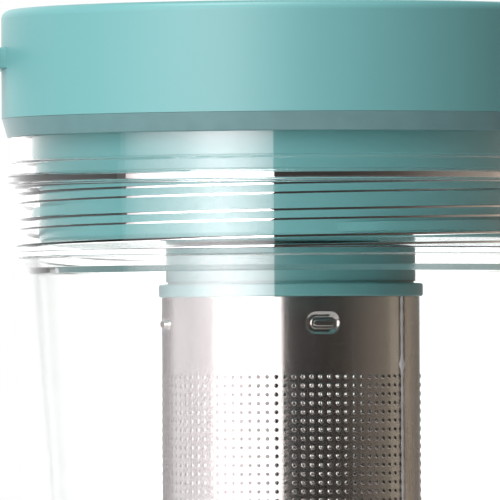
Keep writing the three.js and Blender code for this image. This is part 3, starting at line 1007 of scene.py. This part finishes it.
class FLASK_OT_lid_plug(Operator):
    """Build the plug that fills the vessel's mouth, with its thread lugs"""

    bl_idname = "flask.lid_plug"
    bl_label = "Lid Plug"

    def lugs(self, vessel, sizes):
        """The plug's lugs, half way between the turns of the thread."""
        groove = ledge_level(vessel) - vessel.ridge_base / 2 + vessel.thread_pitch / 2
        tip_half = sizes.lug_height / 2
        foot_half = sizes.lug_foot / 2
        turns = sizes.lug_span / math.tau

        def section(part):
            rise = fade(part, sizes.lug_span, sizes.lug_run_out)
            tip = sizes.plug_radius + (sizes.lug_radius - sizes.plug_radius) * rise
            back = sizes.plug_radius - BURY
            return [(back, -foot_half), (tip, -tip_half), (tip, tip_half), (back, foot_half)]

        bars = []
        for i in range(sizes.lug_count):
            lead = sizes.lug_lead - sizes.lug_span / 2 + i * math.tau / sizes.lug_count
            low = groove + vessel.thread_pitch * lead / math.tau
            start = vessel.ridge_start + lead
            bars.append(helix_bar("lug", start, low, vessel.thread_pitch, turns, section))
        return bars

    def execute(self, context):
        vessel = context.scene.flask_vessel
        infuser = context.scene.flask_infuser
        sizes = context.scene.flask_lid
        hem = LID_LOW.z
        rim = LINER_HIGH.z
        foot = PLUG_LOW.z
        top = PLUG_HIGH.z
        step = rim - vessel.mouth_depth + sizes.seat_gap
        collar = rim - sizes.collar_depth
        bore = sizes.plug_radius - sizes.plug_wall
        hole = infuser.stem_radius + sizes.seat_gap
        proud = sizes.plug_radius + sizes.step_proud
        edge = sizes.plug_edge
        corners = [
            (hole, foot, edge),
            (sizes.plug_radius, foot, sizes.plug_round),
            (sizes.plug_radius, step),
            (proud, step, sizes.step_proud),
            (proud, collar),
            (sizes.collar_radius, collar, edge),
            (sizes.collar_radius, hem),
            (PLUG_HIGH.x, hem, edge),
            (PLUG_HIGH.x, hem + sizes.flange_height, edge),
            (sizes.collar_radius, hem + sizes.flange_height),
            (sizes.collar_radius, top),
            (bore, top),
            (bore, foot + sizes.plug_floor, sizes.plug_round),
            (hole, foot + sizes.plug_floor, edge),
        ]
        cup = revolved("plug", corners, even_turns(WIDE_SEGMENTS))
        mesh = combined(cup, self.lugs(vessel, sizes), "UNION")
        finished("plug_cup", mesh, "glossy_teal", "lid", "teal_plastic", "lid_plug")
        return {"FINISHED"}


class FLASK_OT_carry_loop(Operator):
    """Build the flat finger loop whose tongue passes through the cap's wall"""

    bl_idname = "flask.carry_loop"
    bl_label = "Carry Loop"

    def half_outline(self, sizes):
        """The loop on one side of its middle line, from the anchor round the outside to the hole."""
        anchor_in = sizes.collar_radius + sizes.seat_gap
        anchor_out = LID_HIGH.x - sizes.cap_wall - sizes.seat_gap
        bridge = LID_HIGH.x + sizes.seat_gap
        reach = -LOOP_LOW.x
        half = LOOP_HIGH.y
        bow = reach - half
        hole_near = bridge + sizes.loop_bridge
        hole_half = half - sizes.loop_strap
        tongue = math.asin(sizes.loop_tongue / anchor_out)
        points = self.arc(0.0, anchor_in, 0.0, sizes.loop_anchor)
        points += self.arc(0.0, anchor_out, sizes.loop_anchor, tongue)
        points += self.bow(bridge, sizes.loop_tongue, hole_near, half, bow, half)
        points += self.arc(bow, half, math.pi / 2, 0.0)
        points += self.arc(bow, hole_half, 0.0, math.pi / 2)
        points += self.bow(bow, hole_half, hole_near, hole_half, hole_near, 0.0)
        return points

    def arc(self, middle, radius, start, end):
        """Points round a middle on the loop's middle line."""
        turns = np.linspace(start, end, CURVE_POINTS)
        return [(middle + radius * math.cos(t), radius * math.sin(t)) for t in turns]

    def bow(self, x0, y0, x1, y1, x2, y2):
        """Points from the first spot to the last, pulled towards the one between."""
        parts = np.linspace(0.0, 1.0, CURVE_POINTS)
        first, pull, last = np.array([(x0, y0), (x1, y1), (x2, y2)])
        return [tuple((1 - t) ** 2 * first + 2 * t * (1 - t) * pull + t**2 * last) for t in parts]

    def execute(self, context):
        sizes = context.scene.flask_lid
        work = bmesh.new()
        for side in (1.0, -1.0):
            spots = [(-x, side * y, LOOP_LOW.z) for x, y in self.half_outline(sizes)]
            kept = [p for i, p in enumerate(spots) if (Vector(p) - Vector(spots[i - 1])).length > WELD]
            work.faces.new([work.verts.new(point) for point in kept])
        bmesh.ops.remove_doubles(work, verts=work.verts, dist=WELD)
        raised = bmesh.ops.extrude_face_region(work, geom=list(work.faces), use_keep_orig=True)
        lifted = [item for item in raised["geom"] if isinstance(item, bmesh.types.BMVert)]
        bmesh.ops.translate(work, verts=lifted, vec=(0.0, 0.0, LOOP_HIGH.z - LOOP_LOW.z))
        bmesh.ops.recalc_face_normals(work, faces=work.faces)
        piece = add_object("work", written(work, bpy.data.meshes.new("loop")))
        bevel = piece.modifiers.new("Edges", "BEVEL")
        bevel.width = sizes.loop_round
        bevel.segments = BEVEL_STEPS
        bevel.limit_method = "ANGLE"
        bevel.angle_limit = BEVEL_ANGLE
        finished("loop_strap", evaluated(piece), "satin_teal", "lid", "teal_plastic", "carry_loop")
        return {"FINISHED"}


class FLASK_OT_infuser_holder(Operator):
    """Build the stopper under the plug that carries the basket"""

    bl_idname = "flask.infuser_holder"
    bl_label = "Infuser Holder"

    def execute(self, context):
        lid = context.scene.flask_lid
        sizes = context.scene.flask_infuser
        top = PLUG_LOW.z - lid.seat_gap
        flange = flange_level(lid, sizes)
        flange_top = flange + sizes.flange_height
        spigot = sizes.basket_radius - sizes.basket_wall - sizes.spigot_play
        bore = spigot - sizes.spigot_wall
        collar = sizes.basket_radius - sizes.holder_inset
        outside = sizes.basket_radius + sizes.flange_proud
        stem_top = PLUG_LOW.z + lid.plug_floor + lid.seat_gap
        edge = sizes.holder_round
        corners = [
            (0.0, top - sizes.ceiling),
            (bore, top - sizes.ceiling, sizes.spigot_wall),
            (bore, HOLDER_LOW.z, edge),
            (spigot, HOLDER_LOW.z, edge),
            (spigot, flange),
            (outside, flange, edge),
            (outside, flange_top, edge),
            (collar - sizes.groove, flange_top),
            (collar - sizes.groove, flange_top + sizes.groove),
            (collar, flange_top + sizes.groove, edge / 4),
            (collar, top, edge),
            (sizes.stem_radius, top),
            (sizes.stem_radius, stem_top),
            (sizes.stem_radius + sizes.stem_lip, stem_top, edge),
            (sizes.stem_radius, HOLDER_HIGH.z, edge),
            (0.0, HOLDER_HIGH.z),
        ]
        mesh = revolved("holder", corners, even_turns(NARROW_SEGMENTS))
        finished("holder_stopper", mesh, "smooth_teal", "lid", "teal_plastic", "infuser_holder")
        return {"FINISHED"}


class CopyTree(Nodes):
    """Geometry Nodes that set copies of small meshes on computed points."""

    inputs = ()

    def __init__(self, name):
        super().__init__(bpy.data.node_groups.new(name, "GeometryNodeTree"))
        for socket, kind in (*self.inputs, ("Material", "NodeSocketMaterial")):
            self.tree.interface.new_socket(socket, in_out="INPUT", socket_type=kind)
        self.tree.interface.new_socket("Geometry", in_out="OUTPUT", socket_type="NodeSocketGeometry")
        given = self.node("NodeGroupInput", {}).socket.node.outputs
        self.given = {socket.name: Signal(self, socket) for socket in given}
        solid = self.node("GeometryNodeRealizeInstances", {}, self.copies())
        welded = self.node("GeometryNodeMergeByDistance", {}, solid, Distance=WELD)
        painted = self.node("GeometryNodeSetMaterial", {}, welded, Material=self.given["Material"])
        self.node("NodeGroupOutput", {}, painted)

    def rows_and_columns(self):
        """The row and column of each point, counted row by row."""
        index = self.node("GeometryNodeInputIndex", {})
        row = index.math("FLOOR", index / self.given["Columns"])
        return row, index - row * self.given["Columns"]

    def points(self, **place):
        total = self.given["Columns"] * self.given["Rows"]
        return self.node("GeometryNodePoints", {}, total, self.node("ShaderNodeCombineXYZ", {}, **place))

    def copy(self, name, points, **sockets):
        shape = self.node("GeometryNodeObjectInfo", {}, Object=self.given[name], output="Geometry")
        return self.node("GeometryNodeInstanceOnPoints", {}, points, Instance=shape, **sockets)

    def apply(self, name, values):
        """The plain mesh that the tree makes with these inputs."""
        carrier = add_object(name, bpy.data.meshes.new(name))
        modifier = carrier.modifiers.new("Copies", "NODES")
        modifier.node_group = self.tree
        for item in self.tree.interface.items_tree:
            if item.item_type == "SOCKET" and item.in_out == "INPUT":
                modifier[item.identifier] = values[item.name]
        return evaluated(carrier)


class PunchedRows(CopyTree):
    """Punched cells round a tube, row upon row, with plain cells beside the seam."""

    inputs = (
        ("Punched", "NodeSocketObject"),
        ("Plain", "NodeSocketObject"),
        ("Columns", "NodeSocketInt"),
        ("Plain Columns", "NodeSocketInt"),
        ("Rows", "NodeSocketInt"),
        ("Pitch", "NodeSocketFloat"),
        ("Low", "NodeSocketFloat"),
        ("Seam", "NodeSocketFloat"),
    )

    def copies(self):
        row, column = self.rows_and_columns()
        points = self.points(Z=(row + 0.5) * self.given["Pitch"] + self.given["Low"])
        turn = (column + 0.5) / self.given["Columns"] * math.tau + self.given["Seam"]
        rotation = self.node("FunctionNodeAxisAngleToRotation", {}, Angle=turn)
        plain = column < self.given["Plain Columns"]
        join = self.node("GeometryNodeJoinGeometry", {})
        for name, chosen in (("Punched", 1.0 - plain), ("Plain", plain)):
            copies = self.copy(name, points, Selection=chosen, Rotation=rotation)
            self.feed(join.socket.node.inputs[0], copies)
        return join


class FootHoles(CopyTree):
    """Round cutters on staggered rows inside a circle."""

    inputs = (
        ("Cutter", "NodeSocketObject"),
        ("Columns", "NodeSocketInt"),
        ("Rows", "NodeSocketInt"),
        ("Pitch", "NodeSocketFloat"),
        ("Reach", "NodeSocketFloat"),
        ("Level", "NodeSocketFloat"),
    )

    def copies(self):
        row, column = self.rows_and_columns()
        pitch, reach = self.given["Pitch"], self.given["Reach"]
        shift = row.math("MODULO", row, 2.0) * 0.5
        across = (column + shift - self.given["Columns"] / 2.0) * pitch
        along = (row - self.given["Rows"] / 2.0) * (pitch * STAGGER)
        inside = across * across + along * along < reach * reach
        points = self.points(X=across, Y=along, Z=self.given["Level"])
        return self.copy("Cutter", points, Selection=inside)


class FLASK_OT_basket_tube(Operator):
    """Build the rolled, punched sheet of the basket with its dimples and seam"""

    bl_idname = "flask.basket_tube"
    bl_label = "Basket Tube"

    def punched_cell(self, sizes, columns, pitch):
        """One punched cell of the sheet, round +X, with a raised edge on the outside."""
        outer = sizes.basket_radius
        vertices = self.corners(sizes, math.pi / columns, pitch)
        first = len(vertices)
        rings = (
            (outer, sizes.burr_radius),
            (outer + sizes.burr_height, sizes.hole_radius),
            (outer - sizes.basket_wall, sizes.hole_radius),
        )
        for radius, spread in rings:
            for turn in even_turns(HOLE_SIDES) + math.pi / HOLE_SIDES:
                vertices.append((radius, spread * math.cos(turn) / outer, spread * math.sin(turn)))
        last = len(vertices) - HOLE_SIDES
        faces = self.land(0, first) + self.land(first // 2, last)
        for ring in range(first, last, HOLE_SIDES):
            below = ring + HOLE_SIDES
            for k in range(HOLE_SIDES):
                beside = (k + 1) % HOLE_SIDES
                faces.append((ring + k, ring + beside, below + beside, below + k))
        return self.rolled("punched_cell", vertices, faces)

    def plain_cell(self, sizes, columns, pitch):
        """One cell of the sheet without a hole."""
        vertices = self.corners(sizes, math.pi / columns, pitch)
        return self.rolled("plain_cell", vertices, [(0, 1, 2, 3), (7, 6, 5, 4)])

    def corners(self, sizes, half, pitch):
        """The outer and inner corners of a cell, as (radius, angle, height)."""
        square = ((-half, -pitch / 2), (half, -pitch / 2), (half, pitch / 2), (-half, pitch / 2))
        radii = (sizes.basket_radius, sizes.basket_radius - sizes.basket_wall)
        return [(radius, *corner) for radius in radii for corner in square]

    def rolled(self, name, vertices, faces):
        """A cell bent round the tube from (radius, angle, height) points."""
        mesh = bpy.data.meshes.new(name)
        mesh.from_pydata([on_circle(*vertex) for vertex in vertices], [], faces)
        return add_object(name, mesh)

    def land(self, square, ring):
        """The flat part of a cell, between its four corners and an eight-sided ring."""
        faces = []
        for a, b, c, d in ((1, 2, 7, 0), (2, 3, 1, 2), (3, 0, 3, 4), (0, 1, 5, 6)):
            faces.append((square + a, square + b, ring + d, ring + c))
        for corner, c, d in ((2, 0, 1), (3, 2, 3), (0, 4, 5), (1, 6, 7)):
            faces.append((square + corner, ring + d, ring + c))
        return faces

    def closed_rows(self, mesh):
        """The punched rows with their top and bottom edges closed across the sheet."""
        work = bmesh.new()
        work.from_mesh(mesh)
        edges = [edge for edge in work.edges if edge.is_boundary]
        middle = sum(edge.verts[0].co.z for edge in edges) / len(edges)
        for upper in (True, False):
            loops = [edge for edge in edges if (edge.verts[0].co.z > middle) == upper]
            bmesh.ops.bridge_loops(work, edges=loops)
        bmesh.ops.recalc_face_normals(work, faces=work.faces)
        return written(work, mesh)

    def dimple(self, sizes, level):
        """How far the sheet is pressed in or out round its dimples."""

        def oval(aside, above, width, height):
            """Distance from the edge of an oval, positive inside it."""
            straight = width - height
            return height - np.hypot(np.maximum(np.abs(aside) - straight, 0.0), above)

        def eased(distance, slope):
            """A smooth step from 0 at the edge to 1 past the slope."""
            part = np.clip(distance / slope, 0.0, 1.0)
            return part * part * (3.0 - 2.0 * part)

        def bulge(turns, radius, height):
            total = np.zeros(radius.shape)
            outside = radius > sizes.basket_radius - sizes.basket_wall / 2
            for toward in self.dimple_turns(sizes):
                aside = ((turns - toward + math.pi) % math.tau - math.pi) * sizes.basket_radius
                above = height - level
                dent = oval(aside, above, sizes.dimple_width, sizes.dimple_height)
                peg = oval(aside, above, sizes.peg_width, sizes.peg_height)
                total -= sizes.dimple_depth * eased(dent, sizes.dimple_slope)
                total += (sizes.dimple_depth + sizes.peg_proud) * eased(peg, sizes.peg_slope)
            return total * outside

        return bulge

    def dimple_turns(self, sizes):
        return [sizes.dimple_start + turn for turn in even_turns(sizes.dimple_count)]

    def band(self, sizes, low, high, level):
        """The plain top of the sheet, on a grid that is dense at the dimples."""
        outer = sizes.basket_radius
        inner = outer - sizes.basket_wall
        tall = DIMPLE_MARGIN * sizes.dimple_height
        wide = DIMPLE_MARGIN * sizes.dimple_width / outer
        dense = np.arange(level - tall, level + tall, DIMPLE_STEP)
        levels = np.unique(np.concatenate([np.linspace(low, high, BAND_LEVELS), dense]))
        corners = [(outer, z) for z in levels] + [(inner, z) for z in (high, low)]
        near = [np.arange(t - wide, t + wide, DIMPLE_STEP / outer) for t in self.dimple_turns(sizes)]
        turns = np.unique(np.concatenate([even_turns(NARROW_SEGMENTS), *near]) % math.tau)
        return revolved("band", corners, turns, self.dimple(sizes, level))

    def hem(self, sizes, low, high):
        """The plain foot of the sheet."""
        outer = sizes.basket_radius
        inner = outer - sizes.basket_wall
        corners = [(outer, low), (outer, high), (inner, high), (inner, low)]
        return revolved("hem", corners, even_turns(NARROW_SEGMENTS))

    def seam(self, sizes, low, high):
        """The weld along the sheet's edge: a thin, slightly uneven ridge with one knot."""
        knot = high - sizes.knot_drop
        vertices = []
        for z in np.linspace(low, high, SEAM_STEPS):
            swell = 1.0 + KNOT_SWELL * math.exp(-(((z - knot) / sizes.knot_size) ** 2))
            swell += sum(size * math.sin(z / reach) for size, reach in SEAM_WAVES)
            for across, rise in SEAM_SECTION:
                turn = sizes.seam_angle + across * swell * sizes.seam_width / sizes.basket_radius
                proud = rise * swell * sizes.seam_proud if rise >= 0.0 else -BURY / 2
                vertices.append(on_circle(sizes.basket_radius + proud, turn, z))
        return closed_bar("seam", vertices, len(SEAM_SECTION))

    def execute(self, context):
        sizes = context.scene.flask_infuser
        flange = flange_level(context.scene.flask_lid, sizes)
        columns = round(math.tau * sizes.basket_radius / sizes.hole_pitch)
        high = TUBE_HIGH.z - sizes.plain_band
        low = TUBE_LOW.z + sizes.plain_foot
        rows = 2 * round((high - low) / sizes.hole_pitch / 2)
        pitch = (high - low) / rows
        values = {
            "Punched": self.punched_cell(sizes, columns, pitch),
            "Plain": self.plain_cell(sizes, columns, pitch),
            "Columns": columns,
            "Plain Columns": sizes.lap_columns,
            "Rows": rows // 2,
            "Pitch": pitch,
            "Seam": sizes.seam_angle,
            "Material": finish_of("rolled_steel"),
        }
        tree = PunchedRows("punched_rows")
        for part, name in enumerate(("basket_rows_lower", "basket_rows_upper")):
            values["Low"] = low + part * (high - low) / 2
            mesh = self.closed_rows(tree.apply(name, values))
            finished(name, mesh, "rolled_steel", "basket", "steel", "basket_tube")
        bpy.data.objects.remove(values["Punched"])
        bpy.data.objects.remove(values["Plain"])
        top = flange - sizes.top_gap
        band = self.band(sizes, high, top, flange - sizes.dimple_drop)
        finished("basket_band", band, "rolled_steel", "basket", "steel", "basket_tube")
        hem = self.hem(sizes, TUBE_LOW.z, low)
        finished("basket_hem", hem, "rolled_steel", "basket", "steel", "basket_tube")
        seam = self.seam(sizes, TUBE_LOW.z, top)
        finished("basket_seam", seam, "weld_bead", "basket", "steel", "basket_tube")
        return {"FINISHED"}


class FLASK_OT_basket_base(Operator):
    """Build the punched cup that closes the basket's foot"""

    bl_idname = "flask.basket_base"
    bl_label = "Basket Base"

    def holes(self, sizes, radius, low):
        """Cutters for the holes, on staggered rows across the foot."""
        work = bmesh.new()
        bmesh.ops.create_cone(
            work,
            cap_ends=True,
            segments=CUTTER_SEGMENTS,
            radius1=sizes.foot_hole_radius,
            radius2=sizes.foot_hole_radius,
            depth=CUTTER_WALLS * sizes.foot_wall,
        )
        cutter = written(work, bpy.data.meshes.new("foot_cutter"))
        values = {
            "Cutter": add_object("foot_cutter", cutter),
            "Columns": 2 * math.ceil(radius / sizes.foot_pitch),
            "Rows": 2 * math.ceil(radius / sizes.foot_pitch / STAGGER),
            "Pitch": sizes.foot_pitch,
            "Reach": radius - sizes.foot_margin,
            "Level": low,
            "Material": finish_of("rolled_steel"),
        }
        mesh = FootHoles("foot_holes").apply("foot_holes", values)
        bpy.data.objects.remove(values["Cutter"])
        return mesh

    def execute(self, context):
        sizes = context.scene.flask_infuser
        radius = FOOT_HIGH.x
        low = FOOT_LOW.z
        corners = [
            (0.0, low),
            (radius, low, sizes.foot_round),
            (radius, FOOT_HIGH.z),
            (radius - sizes.foot_wall, FOOT_HIGH.z),
            (radius - sizes.foot_wall, low + sizes.foot_wall, sizes.foot_round),
            (0.0, low + sizes.foot_wall),
        ]
        cup = revolved("foot", corners, even_turns(NARROW_SEGMENTS))
        mesh = combined(cup, [self.holes(sizes, radius, low)], "DIFFERENCE")
        finished("basket_foot", mesh, "rolled_steel", "basket", "steel", "basket_base")
        return {"FINISHED"}


class FLASK_OT_stage(Operator):
    """Build the floor, lamps, surroundings and camera"""

    bl_idname = "flask.stage"
    bl_label = "Stage"

    def floor(self, context):
        """A pale round floor that fades out at its edge."""
        radius = context.scene.flask_stage.floor_radius
        work = bmesh.new()
        bmesh.ops.create_circle(work, cap_ends=True, segments=FLOOR_SEGMENTS, radius=radius)
        mesh = written(work, bpy.data.meshes.new("floor"))
        material, paint = new_paint("pale_floor")
        place = paint.place()
        mottle = paint.noise(place, scale=9.0, detail=3.0)
        pale = tint("floor")
        far = paint.node("ShaderNodeVectorMath", {"operation": "LENGTH"}, place, output="Value")
        paint.surface(
            paint.shader(
                Base_Color=paint.blend(mottle, dimmed(pale, FLOOR_DIM), pale),
                Roughness=0.6,
                Alpha=1.0 - far.between(FLOOR_FADE * radius, radius),
            )
        )
        mesh.materials.append(material)
        add_object("floor", mesh)

    def lamp(self, name, middle, target, width, height, level):
        """A flat lamp that faces its target. Its level is the brightness of its face."""
        light = bpy.data.lights.new(name, "AREA")
        light.shape = "RECTANGLE"
        light.size = width
        light.size_y = height
        light.energy = level * math.pi * width * height
        lamp = add_object(name, light)
        lamp.location = middle
        lamp.rotation_euler = (target - middle).to_track_quat("-Z", "Y").to_euler()
        lamp.visible_camera = False
        return lamp

    def softbox(self, stage):
        """The tall softbox at the front left, which dims towards its edges."""
        middle_turn = (stage.softbox_near + stage.softbox_far) / 2
        width = 2 * stage.softbox_distance * math.tan((stage.softbox_far - stage.softbox_near) / 2)
        height = stage.softbox_high + stage.softbox_drop
        level = (stage.softbox_high - stage.softbox_drop) / 2
        toward = Vector((-math.sin(middle_turn), -math.cos(middle_turn), 0.0))
        target = Vector((0.0, 0.0, level))
        middle = toward * stage.softbox_distance + target
        lamp = self.lamp("softbox", middle, target, width, height, stage.softbox_level)
        lamp.data.color = stage.softbox_tint
        lamp.data.use_nodes = True
        paint = Paint(lamp.data.node_tree)
        across = paint.separate(paint.node("ShaderNodeNewGeometry", {}, output="Parametric"))[0]
        fall = paint.ramp(greys(SOFTBOX_FALL), across)
        paint.node("ShaderNodeOutputLight", {}, paint.node("ShaderNodeEmission", {}, fall))

    def overhead(self, stage):
        middle = Vector((-stage.overhead_left, -stage.overhead_front, stage.overhead_height))
        size = stage.overhead_size
        self.lamp("overhead", middle, Vector((0.0, 0.0, 0.0)), size, size, stage.overhead_level)

    def surroundings(self, context):
        """White all round for the camera, and through clear walls. Reflections see the studio's ring."""
        stage = context.scene.flask_stage
        world = bpy.data.worlds.new("studio")
        context.scene.world = world
        world.use_nodes = True
        paint = Paint(world.node_tree)
        direction = paint.node("ShaderNodeTexCoord", {}, output="Generated")
        across, along, up = paint.separate(direction)
        turn = paint.node("ShaderNodeMath", {"operation": "ARCTAN2"}, across, 0.0 - along)
        part = turn / math.tau + 0.5
        positions, *tones = zip(*RING_LEFT)
        wall, basket, later = (
            paint.ramp(greys(zip(positions, tone)) + RING_REST, part) for tone in tones
        )
        reflections = paint.ray("Glossy Depth")
        first = paint.blend(paint.ray("Transmission Depth") > BASKET_SURFACES, wall, basket)
        ring = paint.blend(reflections > TWO_REFLECTIONS, first, later)
        mirrored = paint.blend(up.between(OVERHEAD_START, OVERHEAD_END), ring, OVERHEAD_TONE)
        seen = paint.blend(reflections > ONE_REFLECTION, WHITE, mirrored)
        glossy = paint.ray("Is Glossy Ray")
        bright = glossy.math("MAXIMUM", glossy, paint.ray("Is Transmission Ray"))
        plain = paint.node("ShaderNodeBackground", {}, WHITE, stage.ambient)
        studio = paint.node("ShaderNodeBackground", {}, seen, stage.backdrop)
        white = paint.node("ShaderNodeBackground", {}, WHITE, 1.0)
        lit = paint.mix(bright, plain, studio)
        paint.node("ShaderNodeOutputWorld", {}, paint.mix(paint.ray("Is Camera Ray"), lit, white))

    def camera(self, context):
        stage = context.scene.flask_stage
        aim = Vector((-stage.aim_left, 0.0, stage.aim_height))
        eye = Vector((-stage.aim_left, -stage.eye_distance, stage.eye_height))
        lens = bpy.data.cameras.new("camera")
        lens.angle = 2 * math.atan(stage.picture_width / 2 / (aim - eye).length)
        camera = add_object("camera", lens)
        roll = Matrix.Rotation(stage.roll, 4, "Z")
        turn = (aim - eye).to_track_quat("-Z", "Y").to_matrix().to_4x4()
        camera.matrix_world = Matrix.Translation(eye) @ turn @ roll
        context.scene.camera = camera

    def execute(self, context):
        context.scene.view_settings.view_transform = "Standard"
        self.camera(context)
        self.floor(context)
        self.softbox(context.scene.flask_stage)
        self.overhead(context.scene.flask_stage)
        self.surroundings(context)
        return {"FINISHED"}


PIECES = (
    FLASK_OT_stage,
    FLASK_OT_outer_shell,
    FLASK_OT_inner_liner,
    FLASK_OT_rim_gasket,
    FLASK_OT_lid_cap,
    FLASK_OT_lid_plug,
    FLASK_OT_carry_loop,
    FLASK_OT_infuser_holder,
    FLASK_OT_basket_tube,
    FLASK_OT_basket_base,
)
SETTINGS = {
    "flask_vessel": VesselSizes,
    "flask_lid": LidSizes,
    "flask_infuser": InfuserSizes,
    "flask_finishes": Finishes,
    "flask_stage": StageSettings,
}


class FLASK_PT_pieces(Panel):
    """Lists the flask's pieces and the sizes that can be set"""

    bl_idname = "FLASK_PT_pieces"
    bl_label = "Tea Infuser Flask"
    bl_space_type = "VIEW_3D"
    bl_region_type = "UI"
    bl_category = "Flask"

    def draw(self, context):
        for piece in PIECES:
            self.layout.operator(piece.bl_idname)
        for name, group in SETTINGS.items():
            box = self.layout.box()
            settings = getattr(context.scene, name)
            for field in group.__annotations__:
                box.prop(settings, field)


CLASSES = (*SETTINGS.values(), *PIECES, FLASK_PT_pieces)


def register():
    for item in CLASSES:
        bpy.utils.register_class(item)
    for name, group in SETTINGS.items():
        setattr(bpy.types.Scene, name, PointerProperty(type=group))


def unregister():
    for name in SETTINGS:
        delattr(bpy.types.Scene, name)
    for item in reversed(CLASSES):
        bpy.utils.unregister_class(item)


def main():
    register()
    for piece in PIECES:
        family, name = piece.bl_idname.split(".")
        getattr(getattr(bpy.ops, family), name)()


if __name__ == "__main__":
    main()
